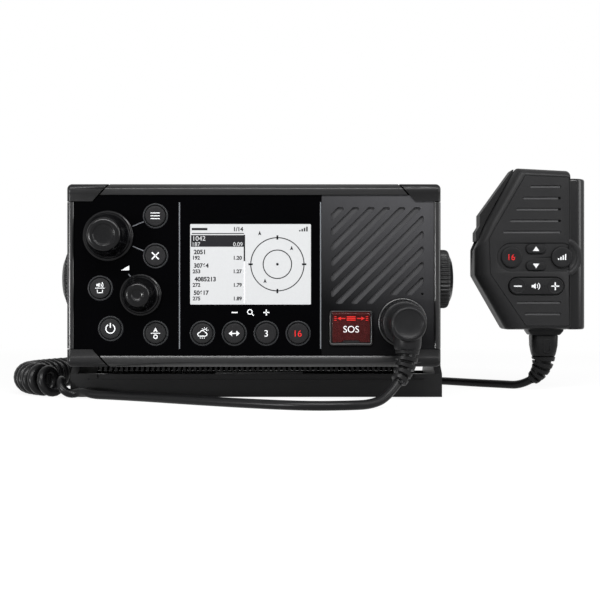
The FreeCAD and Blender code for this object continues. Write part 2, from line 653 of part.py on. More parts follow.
def rear_socket(port, flange_radius, barrel_radius, reach, recess_radius):
    """A round connector in the back of the case, with a flange and a barrel."""
    px, pz, hole_radius = port
    inside = rod(hole_radius, (px, CASE_Y[1] - FINNED_WALL - 4, pz), (px, CASE_Y[1], pz))
    flange = rod(flange_radius, (px, CASE_Y[1], pz), (px, CASE_Y[1] + 2.0, pz))
    barrel = rod(barrel_radius, (px, CASE_Y[1], pz), (px, CASE_Y[1] + reach, pz))
    recess = rod(recess_radius, (px, CASE_Y[1] + reach - 3.0, pz), (px, CASE_Y[1] + reach, pz))
    return merge([inside, flange, barrel]).cut(recess)


def main_board():
    """The radio's main circuit board on the floor of the case."""
    return box((-82.0, 82.0), (-44.0, 66.0), (36.0, 37.6))


def rf_shield():
    """The folded screening can over the board's radio part."""
    can = box((-70.0, 20.0), (-20.0, 56.0), (37.6, 49.6))
    return can.cut(box((-69.2, 19.2), (-19.2, 55.2), (37.6, 48.8)))


def speaker_driver():
    """The loudspeaker behind the slots: its basket with a rim, and the magnet."""
    rim = front_rod(SPEAKER_RADIUS, SPEAKER_CENTRE, (WEB_Y[1], -61.0))
    basket = Part.makeCone(SPEAKER_RADIUS - 3, 15.0, 11.0,
                           Vector(SPEAKER_CENTRE[0], -61.0, SPEAKER_CENTRE[1]), Vector(0, 1, 0))
    magnet = front_rod(15.0, SPEAKER_CENTRE, (-50.0, -40.0))
    cone = Part.makeCone(SPEAKER_RADIUS - 5, 8.0, 9.0,
                         Vector(SPEAKER_CENTRE[0], WEB_Y[1], SPEAKER_CENTRE[1]), Vector(0, 1, 0))
    return merge([rim, basket, magnet]).cut(cone)


def arm_side():
    """One arm seen from the side: a tapering upright with a round head about the tilt axis."""
    points = [(BASE_Y[0], 0.0), (BASE_Y[0], LIP_HEIGHT), (-27.5, 17.5), (-18.9, PIVOT_Z - 2.0),
              (18.9, PIVOT_Z - 2.0), (30.0, 17.5), (BASE_Y[1], 9.0), (BASE_Y[1], 0.0)]
    corners = [Vector(ARM_X[0], y, z) for y, z in points]
    face = Part.Face(Part.makePolygon(corners + corners[:1]))
    web = face.extrude(Vector(ARM_X[1] - ARM_X[0], 0, 0))
    return merge([web, rod(ARM_ROUND_RADIUS, (ARM_X[0], 0, PIVOT_Z), (ARM_X[1], 0, PIVOT_Z))])


def bracket():
    """The U bracket: base plate with a front lip, a low rear rib and two arms."""
    wide = (-ARM_X[1], ARM_X[1])
    base = box(wide, BASE_Y, (0.0, BASE_THICKNESS))
    lip = box(wide, (BASE_Y[0], BASE_Y[0] + LIP_THICKNESS), (0.0, LIP_HEIGHT))
    raised = box(LIP_RAISE_X, (BASE_Y[0] + 0.6, BASE_Y[0] + LIP_THICKNESS), (0.0, LIP_HEIGHT + LIP_RAISE))
    rear = box(wide, (BASE_Y[1] - 4.0, BASE_Y[1]), (0.0, REAR_RIB_HEIGHT))
    arm = arm_side()
    solid = merge([base, lip, raised, rear, arm, mirror_x(arm)])
    groove = box((-97.0, 97.0), (BASE_Y[0], BASE_Y[0] + 0.7), (10.0, 10.9))
    groove_y = (BASE_Y[0], BASE_Y[0] + 0.7)
    slots = [box((s * 91.0 - 0.6, s * 91.0 + 0.6), groove_y, (10.9, LIP_HEIGHT)) for s in (-1, 1)]
    hole = SHOULDER_RADIUS + RUNNING_CLEARANCE
    pivots = [rod(hole, (s * (ARM_X[0] - 1), 0, PIVOT_Z), (s * (ARM_X[1] + 1), 0, PIVOT_Z)) for s in (-1, 1)]
    half_x, half_y = SCREW_SPACING[0] / 2, SCREW_SPACING[1] / 2
    screws = [rod(SCREW_HOLE_RADIUS, (sx, sy, -1), (sx, sy, BASE_THICKNESS + 1))
              for sx in (-half_x, half_x) for sy in (-half_y, half_y)]
    return solid.cut([groove] + slots + pivots + screws)


def clamp_knob(side):
    """A side knob: ribbed rim, low dome, a shoulder that the arm turns on and a threaded shank."""
    inner, outer = CLAMP_X
    rim = rod(CLAMP_RADIUS, (inner, 0, PIVOT_Z), (outer, 0, PIVOT_Z))
    rim = rim.makeChamfer(1.0, [e for e in rim.Edges if abs(e.BoundBox.XMin - outer) < 0.01])
    dome = Part.makeCone(14.5, 9.0, CLAMP_DOME_X - outer, Vector(outer, 0, PIVOT_Z), Vector(1, 0, 0))
    shoulder = rod(SHOULDER_RADIUS, (102.7, 0, PIVOT_Z), (inner, 0, PIVOT_Z))
    shank = rod(SHANK_RADIUS, (87.0, 0, PIVOT_Z), (102.7, 0, PIVOT_Z))
    step = 2 * math.pi / CLAMP_RIBS
    grooves = []
    for i in range(CLAMP_RIBS):
        gy = (CLAMP_RADIUS + 0.25) * math.cos(i * step)
        gz = PIVOT_Z + (CLAMP_RADIUS + 0.25) * math.sin(i * step)
        grooves.append(rod(0.75, (inner - 1, gy, gz), (outer + 1, gy, gz)))
    knob_shape = merge([rim, dome, shoulder, shank]).cut(grooves)
    return knob_shape if side > 0 else mirror_x(knob_shape)


# Handset

def talk_pocket():
    """The pocket that the talk key moves in, and the bore for its stem."""
    inward = TALK_DIRECTION * (TALK_TRAVEL + 0.4)
    outward = TALK_DIRECTION * -9.0
    across = Vector(-TALK_DIRECTION.z, 0, TALK_DIRECTION.x) * TALK_END_CLEARANCE
    (low_x, low_z), bend, (high_x, high_z) = TALK_KEY_INNER
    line = [(low_x - across.x, low_z - across.z), bend, (high_x + across.x, high_z + across.z)]
    inner = [(x + inward.x, z + inward.z) for x, z in line]
    outer = [(x + outward.x, z + outward.z) for x, z in reversed(line)]
    pocket = slab(inner + outer, (TALK_KEY_Y[0] - 0.25, TALK_KEY_Y[1] + 0.25))
    return [pocket, talk_stem(2.05, 10.0)]


def talk_stem(radius, reach):
    """The stem from the middle of the talk key into the handset."""
    start = Vector(146.6, HANDSET_PARTING_Y, 120.6)
    return Part.makeCylinder(radius, reach, start, TALK_DIRECTION)


def handset_solid():
    """The handset's outer form: bevelled front, straight middle and bevelled back."""
    front = frustum(HANDSET_FACE, 1.5, HANDSET_Y[0], HANDSET_OUTLINE, 2.5, HANDSET_SHOULDER_Y[0])
    middle = round_slab(HANDSET_OUTLINE, 2.5, HANDSET_SHOULDER_Y)
    back = frustum(HANDSET_OUTLINE, 2.5, HANDSET_SHOULDER_Y[1], HANDSET_BACK, 3.0, HANDSET_Y[1])
    return merge([front, middle, back])


def pill(x, z, y):
    """A slot or key with half-round ends, along X."""
    radius = (z[1] - z[0]) / 2
    middle = (z[0] + z[1]) / 2
    ends = [front_rod(radius, (end, middle), y) for end in (x[0] + radius, x[1] - radius)]
    return merge([box((x[0] + radius, x[1] - radius), y, z)] + ends)


def handset_slot(start, y):
    """One sound slot of the handset."""
    half = HANDSET_SLOT_HEIGHT / 2
    return pill((start[0], HANDSET_SLOT_END_X), (start[1] - half, start[1] + half), y)


def widened(pair, margin):
    """A pair of limits moved apart by a margin at each end."""
    return pair[0] - margin, pair[1] + margin


def rocker_pivot(clearance):
    """The rod that the volume rocker tips on, which ends in the front shell on either side."""
    x = (ROCKER_X[0] + ROCKER_X[1]) / 2
    low, high = widened(ROCKER_Z, ROCKER_PIVOT_REACH + clearance)
    return rod(ROCKER_PIVOT_RADIUS + clearance, (x, ROCKER_PIVOT_Y, low), (x, ROCKER_PIVOT_Y, high))


def handset_cavity():
    """The room inside both shells, with walls all round."""
    room = inset(HANDSET_FACE, 1.8)
    return round_slab(room, 1.0, (HANDSET_Y[0] + HANDSET_WALL, HANDSET_Y[1] - HANDSET_WALL))


def handset_front_shell():
    """The front half, with the key openings, the sound slots and the bulge round the right key."""
    half = box((120, 210), (-5, HANDSET_PARTING_Y), (30, 140))
    bulge = front_rod(BULGE_RADIUS, HANDSET_POWER_LEVEL, (0.2, 12.0))
    body = merge([handset_solid().common(half), bulge])
    front_wall = (-1.0, HANDSET_Y[0] + HANDSET_WALL)
    tools = [handset_cavity()] + talk_pocket()
    tools += [front_rod(HANDSET_KEY_RADIUS + 0.15, c, front_wall) for c in (HANDSET_16, HANDSET_POWER_LEVEL)]
    for z in (CHANNEL_UP_Z, CHANNEL_DOWN_Z):
        tools.append(pill(widened(CHANNEL_KEY_X, 0.15), widened(z, 0.15), front_wall))
    tools.append(pill(widened(ROCKER_X, 0.2), widened(ROCKER_Z, 0.2), front_wall))
    tools.append(rocker_pivot(RUNNING_CLEARANCE))
    key_back = (front_wall[1], front_wall[1] + 2.6)
    tools.append(front_rod(HANDSET_KEY_RADIUS + 0.6, HANDSET_POWER_LEVEL, key_back))
    groove = (HANDSET_Y[0] - 0.5, HANDSET_Y[0] + HANDSET_SLOT_DEPTH)
    through = (HANDSET_Y[0] - 0.5, HANDSET_Y[0] + HANDSET_WALL)
    tools += [handset_slot(start, groove) for start in HANDSET_SLOTS + HANDSET_LOWER_SLOTS]
    for start in HANDSET_SLOTS[1:4]:
        tools.append(handset_slot((start[0] + 5.0, start[1]), through))
    tools += [rod(1.3, (x, 10.0, z), (x, HANDSET_PARTING_Y, z)) for x, z in HANDSET_SCREWS]
    return body.cut(tools)


def handset_back_shell():
    """The rear half."""
    half = box((120, 210), (HANDSET_PARTING_Y, 40), (30, 140))
    tools = [handset_cavity()] + talk_pocket()
    for x, z in HANDSET_SCREWS:
        tools.append(rod(1.3, (x, HANDSET_PARTING_Y, z), (x, 28.0, z)))
        tools.append(rod(2.6, (x, 28.0, z), (x, 34.0, z)))
    tools.append(rod(2.5, (HANGER[0], 28.0, HANGER[1]), (HANGER[0], 34.0, HANGER[1])))
    return handset_solid().common(half).cut(tools)


def handset_rail():
    """The half-round bar down the right side, cut away round the key's bulge."""
    x0, x1 = RAIL_X
    y0, y1 = RAIL_Y
    reach = RAIL_ROUND * (1 - math.sqrt(0.5))
    z = RAIL_Z[0]
    corner = x1 - RAIL_ROUND
    front = [Vector(x0, y0, z), Vector(corner, y0, z), Vector(x1 - reach, y0 + reach, z),
             Vector(x1, y0 + RAIL_ROUND, z)]
    back = [Vector(x1, y1 - RAIL_ROUND, z), Vector(x1 - reach, y1 - reach, z), Vector(corner, y1, z),
            Vector(x0, y1, z)]
    edges = [
        Part.LineSegment(front[0], front[1]).toShape(),
        Part.Arc(front[1], front[2], front[3]).toShape(),
        Part.LineSegment(front[3], back[0]).toShape(),
        Part.Arc(back[0], back[1], back[2]).toShape(),
        Part.LineSegment(back[2], back[3]).toShape(),
        Part.LineSegment(back[3], front[0]).toShape(),
    ]
    bar = Part.Face(Part.Wire(edges)).extrude(Vector(0, 0, RAIL_Z[1] - RAIL_Z[0]))
    return bar.cut(front_rod(BULGE_RADIUS, HANDSET_POWER_LEVEL, (-1.0, 12.0)))


def talk_key():
    """The talk key along the slanted edge, stepped at its lower end, with its stem."""
    key = slab(TALK_KEY_OUTER + TALK_KEY_INNER, TALK_KEY_Y)
    return merge([key, talk_stem(1.9, 7.0)])


def round_handset_key(centre, face_y):
    """A round handset key."""
    back_y = HANDSET_Y[0] + HANDSET_WALL
    cap = front_rod(HANDSET_KEY_RADIUS, centre, (face_y, back_y + 1.0))
    cap = cap.makeFillet(0.5, [e for e in cap.Edges if abs(e.BoundBox.YMax - face_y) < 0.01])
    return merge([cap, front_rod(HANDSET_KEY_RADIUS + 0.3, centre, (back_y + 0.1, back_y + 1.2))])


def channel_key(z):
    """An oblong channel key."""
    back_y = HANDSET_Y[0] + HANDSET_WALL
    cap = pill(CHANNEL_KEY_X, z, (0.3, back_y + 1.0))
    grown = pill((CHANNEL_KEY_X[0] - 0.5, CHANNEL_KEY_X[1] + 0.5), (z[0] - 0.5, z[1] + 0.5),
                 (back_y + 0.1, back_y + 1.2))
    return merge([cap, grown])


def volume_rocker():
    """The volume rocker, which tips to either side about its middle."""
    middle = ((ROCKER_X[0] + ROCKER_X[1]) / 2, (ROCKER_Z[0] + ROCKER_Z[1]) / 2)
    cap = pill(ROCKER_X, ROCKER_Z, (0.2, 3.2))
    ridge = box((middle[0] - 1.5, middle[0] + 1.5), (3.0, 6.0), (ROCKER_Z[0] + 1, ROCKER_Z[1] - 1))
    return merge([cap, ridge, rocker_pivot(0.0)])


def handset_speaker():
    """The small loudspeaker behind the open slots."""
    rim = front_rod(13.0, HANDSET_SPEAKER, (HANDSET_Y[0] + HANDSET_WALL, 6.0))
    magnet = front_rod(8.0, HANDSET_SPEAKER, (6.0, 10.0))
    return merge([rim, magnet])


def handset_microphone():
    """The microphone capsule behind the lower slots."""
    return front_rod(4.5, (171.0, 50.0), (HANDSET_Y[0] + HANDSET_WALL, 9.5))


def handset_board():
    """The handset's circuit board, cut away round the loudspeaker's magnet."""
    board = round_slab(inset(HANDSET_FACE, 5.0), 1.0, (10.5, 12.1))
    return board.cut(Part.makeCylinder(3.0, 14.0, Vector(146.4, 11.3, 121.0), TALK_DIRECTION))


def handset_hang_stud():
    """The stud on the back that hooks into a holder."""
    foot = rod(2.5, (HANGER[0], 28.0, HANGER[1]), (HANGER[0], 33.0, HANGER[1]))
    neck = rod(4.5, (HANGER[0], 33.0, HANGER[1]), (HANGER[0], 37.0, HANGER[1]))
    head = rod(8.0, (HANGER[0], 37.0, HANGER[1]), (HANGER[0], 39.5, HANGER[1]))
    return merge([foot, neck, head])


def handset_screws():
    """Four screws that hold the two shells together."""
    parts = []
    for x, z in HANDSET_SCREWS:
        shank = rod(1.3, (x, 11.0, z), (x, 28.5, z))
        parts.append(merge([shank, rod(2.5, (x, 28.0, z), (x, 30.0, z))]))
    return Part.makeCompound(parts)


def handset_boot():
    """The collar under the handset, the cord's moulded block and the ribbed taper."""
    top = HANDSET_OUTLINE[2][1]
    collar = Part.makeLoft([
        Part.makePolygon([Vector(x, y, top) for x, y in corner_loop(COLLAR_TOP_X, (7.0, 27.0))]),
        Part.makePolygon([Vector(x, y, BOOT_Z[1]) for x, y in corner_loop(COLLAR_BOTTOM_X, (8.0, 26.0))]),
    ], True, True)
    block = box(BOOT_X, BOOT_Y, BOOT_Z)
    block = block.makeFillet(4.0, [e for e in block.Edges if e.BoundBox.ZLength > 10])
    start = Vector((BOOT_X[0] + BOOT_X[1]) / 2, HANDSET_PARTING_Y, BOOT_Z[0])
    bend = (HANDSET_BOOT_BEND, HANDSET_BOOT_TURN)
    taper = ribbed_boot(start, HANDSET_BOOT_HEADING, *bend, 5, (6.4, 2.9), 1.1)
    return merge([collar, block, taper])


def corner_loop(x, y):
    """A closed loop of the four corners of a rectangle."""
    return [(x[0], y[0]), (x[1], y[0]), (x[1], y[1]), (x[0], y[1]), (x[0], y[0])]


# Cord

def plug_exit():
    """The cord's end at the plug's boot and the way it points."""
    start = Vector(SOCKET[0], PLUG_NECK_Y, PLUG_NECK_END_Z)
    return bend_point(start, PLUG_BOOT_HEADING, PLUG_BOOT_BEND, PLUG_BOOT_TURN)


def handset_exit():
    """The cord's end at the handset's boot and the way it points."""
    start = Vector((BOOT_X[0] + BOOT_X[1]) / 2, HANDSET_PARTING_Y, BOOT_Z[0])
    return bend_point(start, HANDSET_BOOT_HEADING, HANDSET_BOOT_BEND, HANDSET_BOOT_TURN)


def tube_path(points):
    """Straight runs joined by tangent arcs, each as large as its two runs allow."""
    edges = []
    radii = []
    place = points[0]
    for before, corner, after in zip(points, points[1:], points[2:]):
        back = (before - corner).normalize()
        ahead = (after - corner).normalize()
        half = back.getAngle(ahead) / 2
        reach = ARC_SHARE * min(before.distanceToPoint(corner), corner.distanceToPoint(after))
        radius = reach * math.tan(half)
        middle = corner + (back + ahead).normalize() * (radius / math.sin(half) - radius)
        edges.append(Part.LineSegment(place, corner + back * reach).toShape())
        edges.append(Part.Arc(corner + back * reach, middle, corner + ahead * reach).toShape())
        place = corner + ahead * reach
        radii.append(radius)
    edges.append(Part.LineSegment(place, points[-1]).toShape())
    return Part.Wire(edges), radii


def swept_wire(path, start, direction):
    """The cord's round section carried along a path."""
    section = Part.Wire(Part.Circle(start, direction, WIRE_RADIUS).toShape())
    return path.makePipeShell([section], True, False)


def cord_stretch(name, points):
    """A stretch of plain cord, with its radii and its volume against section times length."""
    path, radii = tube_path(points)
    tube = swept_wire(path, points[0], points[1] - points[0])
    share = tube.Volume / (math.pi * WIRE_RADIUS ** 2 * path.Length)
    sizes = [round(r, 1) for r in radii]
    print(name, "length", round(path.Length, 1), "volume share", round(share, 4), "radii", sizes)
    return tube


def halfway(a, b):
    """The point halfway between two."""
    return (Vector(*a) + Vector(*b)) * 0.5


def curly_route():
    """The line on the floor that the curls follow."""
    poles = [halfway(FRONT_ROUTE[-1], CURLY_ROUTE[0])]
    poles += [Vector(*p) for p in CURLY_ROUTE]
    poles.append(halfway(CURLY_ROUTE[-1], REAR_ROUTE[0]))
    spans = len(poles) - 2
    knots = [float(i) for i in range(spans + 1)]
    curve = Part.BSplineCurve()
    curve.buildFromPolesMultsKnots(poles, [3] + [1] * (spans - 1) + [3], knots, False, 2)
    return curve


def smooth(share):
    """A smooth step from 0 to 1."""
    share = min(max(share, 0.0), 1.0)
    return share * share * (3 - 2 * share)


def curl_fade(turn):
    """1 at either end of the curly part, 0 where the curls are full."""
    return 2.0 - smooth(turn / CURL_TAPER) - smooth((CURLS - turn) / CURL_TAPER)


def travelled(turn, pitch):
    """How far along the route the given turn lies, with longer pitches at both ends."""
    def rise(share):
        share = min(max(share, 0.0), 1.0)
        return share - (share ** 3 - share ** 4 / 2)
    ends = CURL_TAPER * rise(turn / CURL_TAPER)
    ends += CURL_TAPER * (rise(1.0) - rise((CURLS - turn) / CURL_TAPER))
    return pitch * turn + (CURL_END_PITCH - pitch) * ends


def curl_point(route, pitch, turn):
    """A point of the curly cord: a circle about the route that opens out at both ends."""
    length = route.length()
    where = min(max(travelled(turn, pitch), 0.0), length)
    parameter = route.parameterAtDistance(where, route.FirstParameter)
    centre = route.value(parameter)
    ahead = Vector(*route.tangent(parameter)[0]).normalize()
    side = Vector(-ahead.y, ahead.x, 0)
    radius = CURL_RADIUS * (1 - curl_fade(turn))
    angle = 2 * math.pi * turn
    return centre + side * (radius * math.sin(angle)) + Vector(0, 0, radius * (1 - math.cos(angle)))


def curl_direction(route, pitch, turn):
    """The way that the curly cord runs at the given turn."""
    nudge = 0.001
    return (curl_point(route, pitch, turn + nudge) - curl_point(route, pitch, turn - nudge)).normalize()


def tangent_arc(start, apex, end):
    """The arc from start to end whose end tangents meet at apex, and its radius."""
    middle = (start + end) * 0.5
    height = apex.distanceToPoint(middle)
    half_chord = start.distanceToPoint(end) / 2
    if height < 1e-7:
        return Part.LineSegment(start, end).toShape(), math.inf
    sagitta = half_chord * math.tan(math.atan(height / half_chord) / 2)
    radius = (half_chord ** 2 + sagitta ** 2) / (2 * sagitta)
    return Part.Arc(start, middle + (apex - middle) * (sagitta / height), end).toShape(), radius


def biarc(start, way_out, end, way_in):
    """Two arcs that leave start along way_out, share a tangent and reach end along way_in."""
    chord = end - start
    both = way_out + way_in
    a = 2 * (1 - way_out.dot(way_in))
    b = 2 * chord.dot(both)
    c = chord.dot(chord)
    reach = c / b if a < 1e-9 else (-b + math.sqrt(b * b + 4 * a * c)) / (2 * a)
    first = start + way_out * reach
    second = end - way_in * reach
    joint = (first + second) * 0.5
    return [tangent_arc(start, first, joint), tangent_arc(joint, second, end)]


def cord_coil():
    """The curly part: one unbroken tube with a straight end each side."""
    route = curly_route()
    rise_total = CURL_TAPER
    pitch = (route.length() - CURL_END_PITCH * rise_total) / (CURLS - rise_total)
    steps = CURLS * POINTS_PER_CURL
    turns = [i / POINTS_PER_CURL for i in range(steps + 1)]
    points = [curl_point(route, pitch, t) for t in turns]
    ways = [curl_direction(route, pitch, t) for t in turns]
    ways[0] = Vector(*route.tangent(route.FirstParameter)[0]).normalize()
    ways[-1] = Vector(*route.tangent(route.LastParameter)[0]).normalize()
    start = points[0] - ways[0] * (2 * WIRE_RADIUS)
    end = points[-1] + ways[-1] * (2 * WIRE_RADIUS)
    edges = [Part.LineSegment(start, points[0]).toShape()]
    tightest = math.inf
    for i in range(steps):
        for edge, radius in biarc(points[i], ways[i], points[i + 1], ways[i + 1]):
            edges.append(edge)
            tightest = min(tightest, radius)
    edges.append(Part.LineSegment(points[-1], end).toShape())
    path = Part.Wire(edges)
    tube = swept_wire(path, start, ways[0])
    share = tube.Volume / (math.pi * WIRE_RADIUS ** 2 * path.Length)
    gap = least_gap(route, pitch)
    print("cord_coil length", round(path.Length, 1), "volume share", round(share, 4))
    print("cord_coil pitch", round(pitch, 2), "tightest arc", round(tightest, 2), "least gap", round(gap, 2))
    return tube


def least_gap(route, pitch):
    """The least gap between one turn of the curly cord and the next, measured on points."""
    fine = 24
    line = [curl_point(route, pitch, i / fine) for i in range(CURLS * fine + 1)]
    gap = math.inf
    for i, point in enumerate(line):
        for other in line[i + fine // 2:i + 2 * fine]:
            gap = min(gap, point.distanceToPoint(other))
    return gap - 2 * WIRE_RADIUS


def coil_end(side):
    """Where the curly part's straight end stops: side 0 is the plug's end, 1 the handset's."""
    route = curly_route()
    if side == 0:
        way = Vector(*route.tangent(route.FirstParameter)[0]).normalize()
        return route.value(route.FirstParameter) - way * (2 * WIRE_RADIUS)
    way = Vector(*route.tangent(route.LastParameter)[0]).normalize()
    return route.value(route.LastParameter) + way * (2 * WIRE_RADIUS)


def cord_front():
    """The plain cord from the plug's boot along the floor to the curls."""
    place, way = plug_exit()
    points = [place, place + way * PLUG_EXIT_RUN] + [Vector(*p) for p in FRONT_ROUTE] + [coil_end(0)]
    return cord_stretch("cord_front", points)


def cord_rear():
    """The plain cord from the curls, behind the case, to the handset's boot."""
    place, way = handset_exit()
    points = [coil_end(1)] + [Vector(*p) for p in REAR_ROUTE] + [place + way * HANDSET_EXIT_RUN, place]
    return cord_stretch("cord_rear", points)


def all_nodes():
    """Every node's name with its shape."""
    nodes = {
        "front_bezel": front_bezel(),
        "corner_caps": corner_caps(),
        "fascia_panel": fascia_panel(),
        "speaker_panel": speaker_panel(),
        "lcd_display": lcd_display(),
        "key_membrane": key_membrane(),
        "front_board": front_board(),
        "encoders": encoders(),
        "main_shaft": knob_shaft(MAIN_KNOB, KNOB_BASE_Y - 13.0),
        "main_knob": knob(MAIN_KNOB, MAIN_PROFILE, 13.0),
        "volume_shaft": knob_shaft(VOLUME_KNOB, KNOB_BASE_Y - 11.0),
        "volume_knob": knob(VOLUME_KNOB, VOLUME_PROFILE, 11.0),
        "distress_frame": distress_frame(),
        "distress_cover": distress_cover(),
        "distress_cover_pin": distress_cover_pin(),
        "distress_button": distress_button(),
        "mic_socket": mic_socket(),
        "plug_lock_ring": plug_lock_ring(),
        "plug_body": plug_body(),
        "plug_boot": plug_boot(),
        "speaker_driver": speaker_driver(),
        "rear_chassis": rear_chassis(),
        "case_gasket": case_gasket(),
        "case_screws": case_screws(),
        "main_board": main_board(),
        "rf_shield": rf_shield(),
        "antenna_socket": rear_socket(ANTENNA_PORT, 12.5, 7.9, 16.0, 2.0),
        "network_socket": rear_socket(NETWORK_PORT, 9.0, 6.0, 11.0, 4.4),
        "power_inlet": rear_socket(POWER_PORT, 11.0, 8.8, 12.0, 7.0),
        "pivot_inserts": pivot_inserts(),
        "bracket": bracket(),
        "clamp_knob_left": clamp_knob(-1),
        "clamp_knob_right": clamp_knob(1),
        "handset_front_shell": handset_front_shell(),
        "handset_back_shell": handset_back_shell(),
        "handset_rail": handset_rail(),
        "talk_key": talk_key(),
        "handset_key_16": round_handset_key(HANDSET_16, 0.2),
        "handset_key_power_level": round_handset_key(HANDSET_POWER_LEVEL, -0.5),
        "handset_key_up": channel_key(CHANNEL_UP_Z),
        "handset_key_down": channel_key(CHANNEL_DOWN_Z),
        "handset_volume_rocker": volume_rocker(),
        "handset_speaker": handset_speaker(),
        "handset_microphone": handset_microphone(),
        "handset_board": handset_board(),
        "handset_hang_stud": handset_hang_stud(),
        "handset_screws": handset_screws(),
        "handset_boot": handset_boot(),
        "cord_front": cord_front(),
        "cord_coil": cord_coil(),
        "cord_rear": cord_rear(),
    }
    for name, centre in FRONT_KEYS.items():
        nodes[name] = front_key(centre)
    return nodes


def main():
    """Write one file for each node."""
    os.makedirs("parts", exist_ok=True)
    for name, shape in all_nodes().items():
        shape.exportStep("parts/" + name + ".step")


main()
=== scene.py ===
import json
import logging
import math
from dataclasses import dataclass, field
from enum import Enum

import bmesh
import bpy
import numpy as np
from mathutils import Matrix, Vector
from mathutils.geometry import tessellate_polygon


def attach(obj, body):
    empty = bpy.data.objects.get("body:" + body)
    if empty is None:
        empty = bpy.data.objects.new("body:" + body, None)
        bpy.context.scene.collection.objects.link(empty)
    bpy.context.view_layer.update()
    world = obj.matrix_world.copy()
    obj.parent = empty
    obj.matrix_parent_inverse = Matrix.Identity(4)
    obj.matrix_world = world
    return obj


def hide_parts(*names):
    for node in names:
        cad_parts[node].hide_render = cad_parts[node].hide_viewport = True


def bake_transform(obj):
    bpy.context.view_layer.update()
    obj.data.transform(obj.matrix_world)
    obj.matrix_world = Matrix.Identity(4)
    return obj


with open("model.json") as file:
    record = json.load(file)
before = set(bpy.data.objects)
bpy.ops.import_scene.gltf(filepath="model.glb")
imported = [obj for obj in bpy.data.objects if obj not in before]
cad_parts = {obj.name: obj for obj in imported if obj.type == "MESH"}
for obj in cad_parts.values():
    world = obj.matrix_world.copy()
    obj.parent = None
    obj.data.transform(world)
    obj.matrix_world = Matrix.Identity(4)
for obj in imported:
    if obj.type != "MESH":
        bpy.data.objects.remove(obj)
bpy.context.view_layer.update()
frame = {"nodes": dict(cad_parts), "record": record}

# A marine radio in its bracket, dressed for the camera. Sizes are millimetres in the part's
# own frame (X right, Y back, Z up) and become metres only where a mesh is made.
MM = 0.001
NODES = frame["nodes"]
LOG = logging.getLogger("radio")


class Body(Enum):
    """The moving bodies that new pieces ride on."""

    BRACKET = "bracket"
    RADIO = "radio"


class Socket:
    """A node's output that adds Math nodes when it is used in an expression."""

    def __init__(self, shader: "Shader", link: bpy.types.NodeSocket) -> None:
        """Keeps the output and the shader that it belongs to."""
        self.shader = shader
        self.link = link

    def _join(self, operation: str, other: "Socket | float") -> "Socket":
        """One Math node on this output and another value."""
        return self.shader.add("ShaderNodeMath", {0: self, 1: other}, operation=operation)

    def __add__(self, other: "Socket | float") -> "Socket":
        """Sum."""
        return self._join("ADD", other)

    def __sub__(self, other: "Socket | float") -> "Socket":
        """Difference."""
        return self._join("SUBTRACT", other)

    def __mul__(self, other: "Socket | float") -> "Socket":
        """Product."""
        return self._join("MULTIPLY", other)

    def at_least(self, floor: float) -> "Socket":
        """The larger of this and a number."""
        return self._join("MAXIMUM", floor)

    def at_most(self, ceiling: float) -> "Socket":
        """The smaller of this and a number."""
        return self._join("MINIMUM", ceiling)


class Shader:
    """A material whose nodes are added by one method."""

    def __init__(self, name: str) -> None:
        """Makes an empty material of that name."""
        self.material = bpy.data.materials.new(name)
        self.material.use_nodes = True
        self.tree = self.material.node_tree
        self.tree.nodes.clear()

    def add(self, kind: str, inputs: dict | None = None, output: str | int = 0, **settings) -> Socket:
        """Adds a node.

        Args:
            kind: the node's type name.
            inputs: values or links by socket name or number.
            output: the output wanted.
            settings: the node's own settings, set first.

        Returns:
            The wanted output.
        """
        node = self.tree.nodes.new(kind)
        for key, value in settings.items():
            setattr(node, key, value)
        for key, value in (inputs or {}).items():
            if isinstance(value, Socket):
                self.tree.links.new(value.link, node.inputs[key])
            else:
                node.inputs[key].default_value = value
        return Socket(self, node.outputs[output])

    def place(self, size_mm: float) -> Socket:
        """Object coordinates counted in steps of size_mm."""
        inputs = {0: self.object_point(), 3: 1.0 / (size_mm * MM)}
        return self.add("ShaderNodeVectorMath", inputs, operation="SCALE")

    def object_point(self) -> Socket:
        """The point in the part's own frame."""
        return self.add("ShaderNodeTexCoord", output="Object")

    def noise(self, size_mm: float, detail: float = 2.0, roughness: float = 0.5) -> Socket:
        """Smooth noise whose features are about size_mm wide."""
        inputs = {"Vector": self.place(size_mm), "Scale": 1.0, "Detail": detail, "Roughness": roughness}
        return self.add("ShaderNodeTexNoise", inputs)

    def grain(self, size_mm: float) -> Socket:
        """The pebbled grain of a moulding tool: distance within small cells."""
        return self.add("ShaderNodeTexVoronoi", {"Vector": self.place(size_mm), "Scale": 1.0})

    def blend(self, factor: Socket | float, first: tuple, second: tuple) -> Socket:
        """A colour between two."""
        inputs = {0: factor, 6: (*first, 1.0), 7: (*second, 1.0)}
        return self.add("ShaderNodeMix", inputs, output=2, data_type="RGBA")

    def finish(self, shader: Socket) -> bpy.types.Material:
        """Wires the shader to the output and returns the material."""
        node = self.tree.nodes.new("ShaderNodeOutputMaterial")
        self.tree.links.new(shader.link, node.inputs["Surface"])
        return self.material


